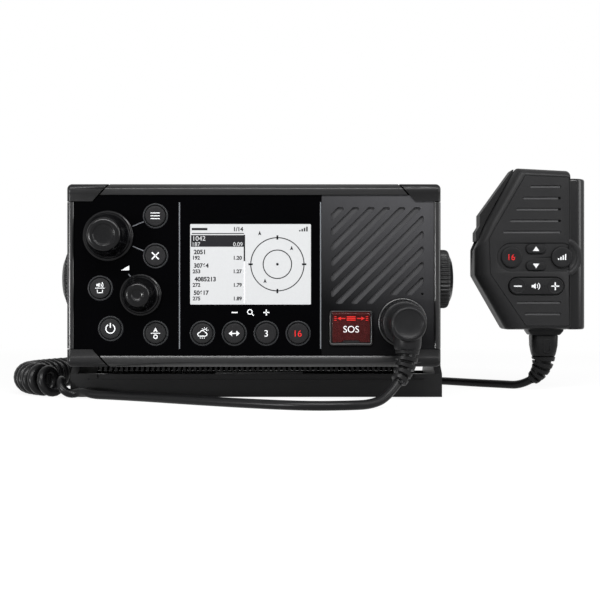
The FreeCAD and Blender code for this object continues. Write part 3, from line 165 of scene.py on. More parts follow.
@dataclass(frozen=True)
class Moulded:
    """A moulded, cast or painted finish: colour with slight mottling, grain and a worn sheen."""

    name: str
    colour: tuple[float, float, float]
    roughness: float
    grain_mm: float = 0.35
    grain_depth: float = 0.25
    uneven: float = 0.12
    specular: float = 0.5
    metallic: float = 0.0
    lift: float = 1.35
    coat: float = 0.0

    def make(self) -> bpy.types.Material:
        """Base colour drifts between the colour and a lighter one over centimetres, roughness over
        millimetres, and a fine cell pattern raises the grain."""
        s = Shader(self.name)
        drift = s.noise(18.0, 3.0)
        light = tuple(min(1.0, c * self.lift) for c in self.colour)
        worn = s.noise(3.0, 4.0, 0.6)
        height = s.grain(self.grain_mm) * 0.7 + s.noise(self.grain_mm * 0.4, 1.0) * 0.3
        relief = {"Strength": self.grain_depth, "Distance": 0.05 * MM, "Height": height}
        bump = s.add("ShaderNodeBump", relief)
        inputs = {
            "Base Color": s.blend(drift, self.colour, light),
            "Roughness": ((worn - 0.5) * self.uneven + self.roughness).at_least(0.03),
            "Metallic": self.metallic,
            "Specular IOR Level": self.specular,
            "Coat Weight": self.coat,
            "Coat Roughness": 0.08,
            "Normal": bump,
        }
        return s.finish(s.add("ShaderNodeBsdfPrincipled", inputs))


@dataclass(frozen=True)
class Gloss:
    """A polished black panel: near mirror smooth, with faint wiping marks in its sheen."""

    name: str
    colour: tuple[float, float, float]
    roughness: float = 0.06
    specular: float = 0.35

    def make(self) -> bpy.types.Material:
        """Wiping marks are long noise, stretched along X, that only changes the roughness."""
        s = Shader(self.name)
        stretched = s.add("ShaderNodeMapping", {"Vector": s.place(9.0), "Scale": (0.25, 1.0, 1.6)})
        marks = s.add("ShaderNodeTexNoise", {"Vector": stretched, "Scale": 1.0, "Detail": 5.0})
        inputs = {
            "Base Color": s.blend(s.noise(30.0), self.colour, tuple(c * 1.6 for c in self.colour)),
            "Roughness": ((marks - 0.45) * 0.12 + self.roughness).at_least(0.02),
            "Specular IOR Level": self.specular,
        }
        return s.finish(s.add("ShaderNodeBsdfPrincipled", inputs))


@dataclass(frozen=True)
class PaintedLightPrint:
    """The speaker panel's matte print, with a painted light gradient that makes it lighter towards one
    corner.
    """

    name: str
    dark: tuple[float, float, float]
    light: tuple[float, float, float]
    start: tuple[float, float]
    end: tuple[float, float]
    roughness: float = 0.5

    def make(self) -> bpy.types.Material:
        """The painted light rises along the line from start to end, given in X and Z, over a fine grain."""
        s = Shader(self.name)
        line = (self.end[0] - self.start[0], self.end[1] - self.start[1])
        reach = (line[0] ** 2 + line[1] ** 2) * MM
        point = s.object_point()
        x = s.add("ShaderNodeSeparateXYZ", {0: point}, output="X")
        z = s.add("ShaderNodeSeparateXYZ", {0: point}, output="Z")
        # painted light: share runs from the darker start of the gradient to its lighter end
        share = (x - self.start[0] * MM) * (line[0] / reach) + (z - self.start[1] * MM) * (line[1] / reach)
        share = share.at_least(0.0).at_most(1.0)
        fine = s.noise(0.4, 1.0)
        bump = s.add("ShaderNodeBump", {"Strength": 0.2, "Distance": 0.04 * MM, "Height": fine})
        inputs = {
            "Base Color": s.blend(share, self.dark, self.light),
            "Roughness": (s.noise(4.0, 3.0) - 0.5) * 0.1 + self.roughness,
            "Specular IOR Level": 0.03,
            "Normal": bump,
        }
        return s.finish(s.add("ShaderNodeBsdfPrincipled", inputs))


@dataclass(frozen=True)
class FlatPrint:
    """Print and display faces that can give off a painted glow of their own, without a lamp."""

    name: str
    colour: tuple[float, float, float]
    painted_glow: float = 0.0
    roughness: float = 0.45

    def make(self) -> bpy.types.Material:
        """A flat print with a slight speckle, which gives off some of its own light as a painted glow."""
        s = Shader(self.name)
        shade = s.blend(s.noise(0.8, 2.0), self.colour, tuple(c * 0.93 for c in self.colour))
        inputs = {
            "Base Color": shade,
            "Roughness": (s.noise(1.5) - 0.5) * 0.1 + self.roughness,
            "Specular IOR Level": 0.1,
            # painted glow: emission brightens the print without any lamp
            "Emission Color": shade,
            "Emission Strength": self.painted_glow,
        }
        return s.finish(s.add("ShaderNodeBsdfPrincipled", inputs))


@dataclass(frozen=True)
class ClearRed:
    """The clear red flap."""

    name: str
    colour: tuple[float, float, float]

    def make(self) -> bpy.types.Material:
        """Half see-through red plastic with fine wiping marks."""
        s = Shader(self.name)
        inputs = {
            "Base Color": s.blend(s.noise(6.0), self.colour, tuple(c * 1.25 for c in self.colour)),
            "Roughness": (s.noise(2.0, 4.0) - 0.5) * 0.08 + 0.12,
            "Alpha": s.noise(5.0) * 0.05 + 0.84,
            "Specular IOR Level": 0.08,
        }
        return s.finish(s.add("ShaderNodeBsdfPrincipled", inputs))


class Finish(Enum):
    """Every finish on the radio."""

    BEZEL = Moulded("bezel_satin", (0.0022, 0.0022, 0.0024), 0.30, 0.30, 0.1, specular=0.34)
    CAP = Moulded("corner_cap_satin", (0.0025, 0.0025, 0.0027), 0.36, 0.35, 0.15, specular=0.15)
    FASCIA = Gloss("fascia_gloss", (0.0003, 0.0003, 0.0004), specular=0.01)
    # painted light: the speaker panel darkens towards its lower left and lightens towards its upper right
    GRILLE = PaintedLightPrint("speaker_panel_print_painted_light", (0.001, 0.001, 0.0012), (0.034, 0.034, 0.036),
                    start=(56.0, 44.0), end=(104.0, 126.0))
    CLOTH = Moulded("speaker_cloth", (0.022, 0.022, 0.023), 0.8, 0.5, 0.9, specular=0.1)
    INSIDE = Moulded("inside_black", (0.001, 0.001, 0.001), 0.8, 0.5, 0.1, specular=0.05)
    KEY = Moulded("key_rubber_black", (0.0065, 0.0065, 0.0068), 0.5, 0.22, 0.15, specular=0.05)
    KEY_RING = Moulded("key_ring_grey", (0.008, 0.0083, 0.009), 0.38, 0.2, 0.08, specular=0.10)
    KNOB = Moulded("knob_soft_black", (0.0012, 0.0012, 0.0014), 0.22, 0.25, 0.05, specular=0.16)
    CASE = Moulded("case_powder_black", (0.0035, 0.0035, 0.0037), 0.45, 0.5, 0.4, 0.1, 0.1)
    BRACKET = Moulded("bracket_paint", (0.0045, 0.0045, 0.0047), 0.42, 0.4, 0.2, specular=0.11)
    CLAMP = Moulded("clamp_knob_black", (0.004, 0.004, 0.0042), 0.34, 0.35, 0.15, specular=0.16)
    PLUG = Moulded("plug_black", (0.0045, 0.0045, 0.0048), 0.34, 0.4, 0.08, specular=0.09)
    BOOT = Moulded("boot_moulding", (0.0038, 0.0038, 0.0040), 0.38, 0.3, 0.1, specular=0.09)
    CORD = Moulded("cord_jacket", (0.0025, 0.0025, 0.0027), 0.33, 0.5, 0.06, specular=0.12)
    HANDSET = Moulded("handset_satin", (0.0085, 0.0085, 0.0088), 0.42, 0.3, 0.2, specular=0.07)
    HANDSET_EDGE = Moulded("handset_edge", (0.0015, 0.0015, 0.0017), 0.3, 0.3, 0.1, specular=0.2)
    HANDSET_SLOT = Moulded("handset_slot_floor", (0.035, 0.035, 0.036), 0.6, 0.4, 0.2, specular=0.1)
    TALK = Moulded("talk_key_rubber", (0.006, 0.006, 0.0062), 0.5, 0.9, 1.0, specular=0.07)
    STEEL = Moulded("plain_steel", (0.55, 0.55, 0.56), 0.32, 0.4, 0.1, 0.15, 0.5, 1.0, 1.1)
    NICKEL = Moulded("nickel_plate", (0.66, 0.65, 0.62), 0.22, 0.4, 0.08, 0.12, 0.5, 1.0, 1.1)
    BRASS = Moulded("turned_brass", (0.68, 0.50, 0.22), 0.3, 0.4, 0.1, 0.12, 0.5, 1.0, 1.1)
    BOARD = Moulded("board_lacquer", (0.012, 0.075, 0.03), 0.4, 0.6, 0.1)
    # painted glow: the white and red prints glow a little, and the display face glows strongly, with no lamp
    # behind them
    MARK = FlatPrint("white_print", (0.40, 0.405, 0.41), 0.1)
    DIM_MARK = FlatPrint("grey_print", (0.07, 0.074, 0.08), 0.0)
    RED_MARK = FlatPrint("red_print", (0.34, 0.010, 0.010), 0.2)
    RED_BRIGHT = FlatPrint("red_flap_print", (0.30, 0.010, 0.008), 0.2)
    # the display face: a dark grey colour made pale by a strong painted glow
    SCREEN = FlatPrint("display_pale_painted_glow", (0.105, 0.1065, 0.108), 4.6, 0.5)
    SCREEN_INK = FlatPrint("display_ink", (0.004, 0.004, 0.005), 0.0, 0.7)
    SCREEN_SHADE = FlatPrint("display_grey", (0.42, 0.43, 0.45), 0.05)
    RED_FLAP = ClearRed("red_flap", (0.022, 0.003, 0.003))
    RED_KEY = FlatPrint("distress_red", (0.07, 0.005, 0.005))

    def material(self) -> bpy.types.Material:
        """The finish's material, made the first time that it is asked for."""
        return bpy.data.materials.get(self.value.name) or self.value.make()


# Grids and outlines, all as whole arrays

def rounded_loop(points: list[tuple[float, float]], radius: float, steps: int = 6) -> np.ndarray:
    """A closed outline with round corners.

    At each corner the arc's centre lies on the bisector, radius / sin(half angle) from the corner, and
    the arc's points turn evenly from one side's normal to the other's.

    Args:
        points: corners in order.
        radius: corner radius.
        steps: points on each corner, less one.

    Returns:
        An array of (corners * (steps + 1), 2).
    """
    corner = np.array(points, float)
    before = np.roll(corner, 1, 0) - corner
    after = np.roll(corner, -1, 0) - corner
    before /= np.linalg.norm(before, axis=1, keepdims=True)
    after /= np.linalg.norm(after, axis=1, keepdims=True)
    half = np.arccos(np.clip((before * after).sum(1), -1, 1)) / 2
    bisector = before + after
    bisector /= np.linalg.norm(bisector, axis=1, keepdims=True)
    centre = corner + bisector * (radius / np.sin(half))[:, None]
    start = corner + before * (radius / np.tan(half))[:, None] - centre
    end = corner + after * (radius / np.tan(half))[:, None] - centre
    first = np.arctan2(start[:, 1], start[:, 0])
    sweep = (np.arctan2(end[:, 1], end[:, 0]) - first + np.pi) % (2 * np.pi) - np.pi
    angle = first[:, None] + sweep[:, None] * np.linspace(0, 1, steps + 1)[None, :]
    arc = np.stack([np.cos(angle), np.sin(angle)], -1) * radius
    return (centre[:, None, :] + arc).reshape(-1, 2)


def rectangle(x: tuple[float, float], z: tuple[float, float]) -> list[tuple[float, float]]:
    """The corners of a rectangle."""
    return [(x[0], z[0]), (x[1], z[0]), (x[1], z[1]), (x[0], z[1])]


def on_arc(centre: tuple[float, float], radius: float | np.ndarray,
           turn: float | np.ndarray) -> np.ndarray:
    """Points round a centre at the given angles, in radians, with one radius or one for each."""
    return np.stack([centre[0] + radius * np.cos(turn), centre[1] + radius * np.sin(turn)], -1)


def circle(centre: tuple[float, float], radius: float | np.ndarray, count: int = 64) -> np.ndarray:
    """Points evenly round a circle."""
    return on_arc(centre, radius, np.arange(count) * 2 * np.pi / count)


def at_depth(loop: np.ndarray, y: float | np.ndarray) -> np.ndarray:
    """A front-view loop of (n, 2) placed at depth y, as (n, 3)."""
    return np.stack([loop[:, 0], np.full(len(loop), y), loop[:, 1]], -1)


def at_side(loop: np.ndarray, x: float) -> np.ndarray:
    """A side-view loop of (n, 2), in Y and Z, placed at x, as (n, 3)."""
    return np.stack([np.full(len(loop), x), loop[:, 0], loop[:, 1]], -1)


def at_height(loop: np.ndarray, z: float) -> np.ndarray:
    """A top-view loop of (n, 2), in X and Y, placed at height z, as (n, 3)."""
    return np.stack([loop[:, 0], loop[:, 1], np.full(len(loop), z)], -1)


def shrunk(loop: np.ndarray, distance: float) -> np.ndarray:
    """A loop moved towards its middle by distance on each side's normal, taken point by point."""
    ahead = np.roll(loop, -1, 0) - np.roll(loop, 1, 0)
    normal = np.stack([-ahead[:, 1], ahead[:, 0]], -1)
    normal /= np.linalg.norm(normal, axis=1, keepdims=True) + 1e-12
    area = (np.roll(loop, 1, 0)[:, 0] * loop[:, 1] - loop[:, 0] * np.roll(loop, 1, 0)[:, 1]).sum()
    return loop + normal * distance * np.sign(area)


def rounded_edge(loop: np.ndarray, front: float, radius: float, hole: bool = False) -> list[np.ndarray]:
    """Rings that round the front edge of a panel or of a hole in it by a quarter circle.

    At angle a the loop is drawn in by radius * (1 - sin a), or out where it is a hole, and lies
    radius * (1 - cos a) behind the front.

    Args:
        loop: the outline or the hole.
        front: the depth of the panel's face.
        radius: the radius of the edge.
        hole: whether the loop is a hole.

    Returns:
        The rings, from the face backwards.
    """
    way = -1.0 if hole else 1.0
    return [at_depth(shrunk(loop, way * radius * (1 - math.sin(a))), front + radius * (1 - math.cos(a)))
            for a in np.linspace(0, np.pi / 2, 4)]


@dataclass
class Piece:
    """Builds one mesh from stacked rings and flat shapes, in millimetres."""

    name: str
    points: list[np.ndarray] = field(default_factory=list)
    faces: list[list[int]] = field(default_factory=list)
    count: int = 0

    def loft(self, rings: list[np.ndarray], capped: bool = True, closed: bool = True) -> "Piece":
        """Skins equal rings in order.

        The surface is a grid: ring number along one way, place on the ring along the other.

        Args:
            rings: arrays of (n, 3), all of one length.
            capped: whether the first and last rings are filled.
            closed: whether each ring's last point joins its first.

        Returns:
            The piece itself.
        """
        size = len(rings[0])
        across = np.arange(size if closed else size - 1)
        base = (np.arange(len(rings) - 1) * size)[:, None]
        step = (across + 1) % size
        quads = np.stack([base + across, base + step, base + size + step, base + size + across], -1)
        self.faces += (quads.reshape(-1, 4) + self.count).tolist()
        if capped:
            last = self.count + (len(rings) - 1) * size
            self.faces.append(list(range(self.count + size - 1, self.count - 1, -1)))
            self.faces.append(list(range(last, last + size)))
        self.points.append(np.concatenate(rings))
        self.count += size * len(rings)
        return self

    def turned(self, profile: list[tuple[float, float]], base: tuple[float, float, float],
               segments: int = 72, capped: bool = True) -> "Piece":
        """A surface of revolution about an axis that runs forwards.

        Each (radius, height) of the profile becomes a circle that far in front of the base.

        Args:
            profile: radius and height above the base, from the base outwards.
            base: the axis's foot.
            segments: points round each ring.
            capped: whether the first and last rings are filled.

        Returns:
            The piece itself.
        """
        x, y, z = base
        rings = [at_depth(circle((x, z), radius, segments), y - height) for radius, height in profile]
        return self.loft(rings, capped)

    def fill(self, loops: list[np.ndarray], y: float) -> "Piece":
        """A flat face at depth y: the first loop less the others."""
        points, faces = holed_faces(loops)
        self.faces += [[i + self.count for i in face] for face in faces]
        self.points.append(at_depth(points, y))
        self.count += len(points)
        return self

    def plate(self, loop: np.ndarray, y: tuple[float, float], edge: float = 0.0) -> "Piece":
        """A flat piece facing forwards, from the front y to the back y, with a rounded front edge."""
        rings = rounded_edge(loop, y[0], edge) if edge else [at_depth(loop, y[0])]
        return self.loft(rings + [at_depth(loop, y[1])])

    def make(self, finish: Finish, body: Body | str | None, slot: str, replaces: tuple[str, ...] = (),
             sharp: float = 35.0) -> bpy.types.Object:
        """Makes the object, closes its seams and poles, points its faces outwards and lets it ride.

        Args:
            finish: its finish.
            slot: not used.
            replaces: the nodes that it stands for.
            sharp: edges that turn by more than this many degrees stay sharp.

        Returns:
            The new object.
        """
        mesh = bpy.data.meshes.new(self.name)
        mesh.from_pydata((np.concatenate(self.points) * MM).tolist(), [], self.faces)
        tidy(mesh)
        return enter(self.name, mesh, finish, body, replaces, sharp)


def tidy(mesh: bpy.types.Mesh) -> None:
    """Merges doubled points, drops faces without area and turns the rest outwards."""
    work = bmesh.new()
    work.from_mesh(mesh)
    bmesh.ops.remove_doubles(work, verts=work.verts, dist=0.002 * MM)
    bmesh.ops.dissolve_degenerate(work, dist=0.001 * MM, edges=work.edges)
    bmesh.ops.recalc_face_normals(work, faces=work.faces)
    work.to_mesh(mesh)
    work.free()


def enter(name: str, mesh: bpy.types.Mesh, finish: Finish, body: Body | str | None,
          replaces: tuple[str, ...] = (), sharp: float = 35.0) -> bpy.types.Object:
    """Adds a mesh to the scene as a piece that rides on a body.

    Args:
        name: the piece's name.
        mesh: its mesh, already in place.
        finish: its finish.
        replaces: the nodes that it stands for.
        sharp: the angle past which edges stay sharp, in degrees.

    Returns:
        The new object.
    """
    mesh.materials.clear()
    mesh.materials.append(finish.material())
    mesh.shade_smooth()
    mesh.set_sharp_from_angle(angle=math.radians(sharp))
    piece = bpy.data.objects.new(name, mesh)
    bpy.context.scene.collection.objects.link(piece)
    if body is not None:
        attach(piece, body.value if isinstance(body, Body) else body)
    if replaces:
        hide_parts(*replaces)
    LOG.info("%s: %d faces", name, len(mesh.polygons))
    return piece


def merged_copy(node: str) -> bpy.types.Mesh:
    """A copy of a node's mesh with its loose triangles joined and its flat faces made whole."""
    mesh = NODES[node].data.copy()
    mesh.name = node + "_dressed"
    work = bmesh.new()
    work.from_mesh(mesh)
    bmesh.ops.remove_doubles(work, verts=work.verts, dist=0.004 * MM)
    bmesh.ops.dissolve_limit(work, angle_limit=math.radians(0.6), verts=work.verts, edges=work.edges)
    work.to_mesh(mesh)
    work.free()
    return mesh


def dress(node: str, finish: Finish, edge: float = 0.0) -> None:
    """Gives a node its finish, on a copy with rounded edges where an edge radius is given.

    Args:
        node: the node's name.
        finish: its finish.
        edge: the radius of its rounded edges, 0 to keep the node itself.
    """
    if not edge:
        mesh = NODES[node].data
        mesh.materials.clear()
        mesh.materials.append(finish.material())
        return
    mesh = merged_copy(node)
    piece = enter(node + "_shown", mesh, finish, body_of(node), (node,), 30.0)
    bevel = piece.modifiers.new("edges", "BEVEL")
    bevel.width = edge * MM
    bevel.segments = 2
    bevel.limit_method = "ANGLE"
    bevel.angle_limit = math.radians(32.0)
    bevel.harden_normals = True


def body_of(node: str) -> str:
    """The body that a node belongs to."""
    bodies = frame["record"]["behaviour"]["bodies"]
    return next(name for name, nodes in bodies.items() if node in nodes)


# Printed marks and small flat shapes

@dataclass
class Print:
    """Thin raised print on a surface that faces forwards, built from strokes, discs and words."""

    name: str
    y: float
    thickness: float = 0.06
    weight: float = 0.0
    loops: list[np.ndarray] = field(default_factory=list)
    bands: list[tuple[np.ndarray, np.ndarray, bool]] = field(default_factory=list)
    words: list[tuple[str, tuple[float, float], float]] = field(default_factory=list)

    def stroke(self, start: tuple[float, float], end: tuple[float, float], width: float) -> "Print":
        """A straight stroke: the line's two ends moved half the width to either side of it."""
        a, b = np.array(start, float), np.array(end, float)
        way = (b - a) / np.linalg.norm(b - a)
        side = np.array([-way[1], way[0]]) * width / 2
        self.loops.append(np.array([a - side, b - side, b + side, a + side]))
        return self

    def path(self, points: list[tuple[float, float]], width: float) -> "Print":
        """Strokes from point to point with a disc at each joint."""
        for start, end in zip(points, points[1:]):
            self.stroke(start, end, width)
        for joint in points[1:-1]:
            self.disc(joint, width / 2, 12)
        return self

    def disc(self, centre: tuple[float, float], radius: float, count: int = 32) -> "Print":
        """A filled disc."""
        self.loops.append(circle(centre, radius, count))
        return self

    def area(self, points: list[tuple[float, float]]) -> "Print":
        """A filled outline of straight sides."""
        self.loops.append(np.array(points, float))
        return self

    def arc(self, centre: tuple[float, float], radius: float, width: float,
            sweep: tuple[float, float] = (0, 360), count: int = 40) -> "Print":
        """A curved stroke: two arcs, half the width inside and outside the radius, angles in degrees."""
        turn = np.radians(np.linspace(*sweep, count))
        inner, outer = (on_arc(centre, radius + side * width / 2, turn) for side in (-1, 1))
        self.bands.append((inner, outer, abs(sweep[1] - sweep[0]) >= 360))
        return self

    def word(self, text: str, centre: tuple[float, float], height: float) -> "Print":
        """Digits or a generic word, with capitals of the given height."""
        self.words.append((text, centre, height))
        return self

    def build(self, finish: Finish, body: Body | str, slot: str) -> bpy.types.Object:
        """Gives each shape its thickness and makes one mesh of them all."""
        piece = Piece(self.name)
        back = self.y
        front = self.y - self.thickness
        for loop in self.loops:
            piece.loft([at_depth(loop, back), at_depth(loop, front)])
        for inner, outer, whole in self.bands:
            corners = ((inner, back), (inner, front), (outer, front), (outer, back))
            section = [at_depth(arc, depth) for arc, depth in corners]
            piece.loft([np.array(ring) for ring in zip(*section)], capped=not whole)
        for text, centre, height in self.words:
            points, faces = lettering(text, centre, height, back, self.thickness, self.weight)
            piece.faces += [[i + piece.count for i in face] for face in faces]
            piece.points.append(points)
            piece.count += len(points)
        return piece.make(finish, body, slot)


def lettering(text: str, centre: tuple[float, float], height: float, y: float, thickness: float,
              weight: float = 0.0) -> tuple[np.ndarray, list[list[int]]]:
    """Words in Blender's own typeface as a mesh that faces forwards.

    Args:
        text: the digits or word.
        centre: its middle in X and Z.
        height: the height of its capitals.
        y: the surface that it stands on.
        thickness: how far it stands proud.
        weight: how much bolder its strokes are, as a share of its size.

    Returns:
        Its points in millimetres and its faces.
    """
    data = bpy.data.curves.new("lettering", "FONT")
    data.body = text
    data.align_x = "CENTER"
    data.extrude = 0.5
    data.offset = weight
    holder = bpy.data.objects.new("lettering", data)
    mesh = bpy.data.meshes.new_from_object(holder)
    flat = np.empty(len(mesh.vertices) * 3)
    mesh.vertices.foreach_get("co", flat)
    points = flat.reshape(-1, 3)
    faces = [list(face.vertices) for face in mesh.polygons]
    bpy.data.objects.remove(holder)
    bpy.data.curves.remove(data)
    bpy.data.meshes.remove(mesh)
    low, high = points.min(0), points.max(0)
    scale = height / (high[1] - low[1])
    middle = (low + high) / 2
    x = centre[0] + (points[:, 0] - middle[0]) * scale
    z = centre[1] + (points[:, 1] - middle[1]) * scale
    depth = y - thickness * (points[:, 2] + 0.5)
    return np.stack([x, depth, z], -1), faces


def holed_faces(loops: list[np.ndarray]) -> tuple[np.ndarray, list[list[int]]]:
    """Fills an outline that has holes.

    Args:
        loops: the outline first, then its holes.

    Returns:
        All the loops' points in one array, and triangles between them.
    """
    veclists = [[Vector((x, z, 0.0)) for x, z in loop] for loop in loops]
    triangles = tessellate_polygon(veclists)
    return np.concatenate(loops), [list(t) for t in triangles]


def panel(name: str, outer: np.ndarray, holes: list[np.ndarray], y: tuple[float, float],
          lip: float) -> Piece:
    """A flat panel with holes, its front edges rounded by a quarter circle.

    Args:
        name: the piece's name.
        outer: the outline.
        holes: the holes' outlines.
        y: its front and back.
        lip: the radius of the edges.

    Returns:
        The piece, not made yet.
    """
    piece = Piece(name)
    for k, loop in enumerate([outer] + holes):
        piece.loft(rounded_edge(loop, y[0], lip, k > 0) + [at_depth(loop, y[1])], capped=False)
    for depth, inset in ((y[0], lip), (y[1], 0.0)):
        piece.fill([shrunk(outer, inset)] + [shrunk(hole, -inset) for hole in holes], depth)
    return piece


def clipped(points: list[np.ndarray], normal: tuple[float, float], limit: float) -> list[np.ndarray]:
    """The part of a convex outline where its dot product with the normal is under the limit."""
    kept = []
    way = np.array(normal)
    for before, here in zip(points[-1:] + points[:-1], points):
        inside_before, inside = before @ way <= limit, here @ way <= limit
        if inside != inside_before:
            share = (limit - before @ way) / ((here - before) @ way)
            kept.append(before + (here - before) * share)
        if inside:
            kept.append(here)
    return kept


# The front

SOCKET = (81.5, 43.7)
SOCKET_RADIUS = 13.4
PANEL_Y = (-69.6, -66.5)


@dataclass
class FrontFrame:
    """The bezel and its corner caps, crowned along the top and bottom bars."""

    z: tuple[float, float] = (19.4, 119.6)
    front: float = -71.0
    bar: float = 6.1
    drop_outer: float = 1.2
    drop_inner: float = 0.55
    ridge: float = 0.55
    crowned_depth: float = 2.4
    strips: int = 13

    def crown(self, height: np.ndarray) -> np.ndarray:
        """How far back the bar's face lies: a parabola each side of its ridge.

        Args:
            height: distance in from the outer edge.

        Returns:
            The setback in millimetres.
        """
        share = np.clip(height / self.bar, 0.0, 1.0)
        outer = self.drop_outer * np.clip((self.ridge - share) / self.ridge, 0, 1) ** 2
        inner = self.drop_inner * np.clip((share - self.ridge) / (1 - self.ridge), 0, 1) ** 2
        return outer + inner

    def crowned(self, node: str) -> bpy.types.Mesh:
        """A copy of a node, cut into strips along its bars and bent back by the crown."""
        mesh = merged_copy(node)
        work = bmesh.new()
        work.from_mesh(mesh)
        for share in np.linspace(0.04, 0.96, self.strips):
            for height in (self.z[0] + share * self.bar, self.z[1] - share * self.bar):
                every = work.verts[:] + work.edges[:] + work.faces[:]
                bmesh.ops.bisect_plane(work, geom=every, dist=1e-7, plane_co=(0, 0, height * MM),
                                       plane_no=(0, 0, 1))
        bmesh.ops.triangulate(work, faces=[f for f in work.faces if len(f.verts) > 4])
        work.to_mesh(mesh)
        work.free()
        flat = np.empty(len(mesh.vertices) * 3, np.float32)
        mesh.vertices.foreach_get("co", flat)
        point = flat.reshape(-1, 3)
        edge = np.minimum(point[:, 2] / MM - self.z[0], self.z[1] - point[:, 2] / MM)
        depth = np.clip((self.front + self.crowned_depth - point[:, 1] / MM) / self.crowned_depth, 0, 1)
        point[:, 1] += (self.crown(edge) * depth * MM).astype(np.float32)
        mesh.vertices.foreach_set("co", point.ravel())
        return mesh

    def build(self) -> None:
        """Makes both pieces."""
        for node, finish in (("front_bezel", Finish.BEZEL), ("corner_caps", Finish.CAP)):
            mesh = self.crowned(node)
            mesh.name = node + "_shown"
            enter(node + "_shown", mesh, finish, Body.RADIO, (node,), 28.0)


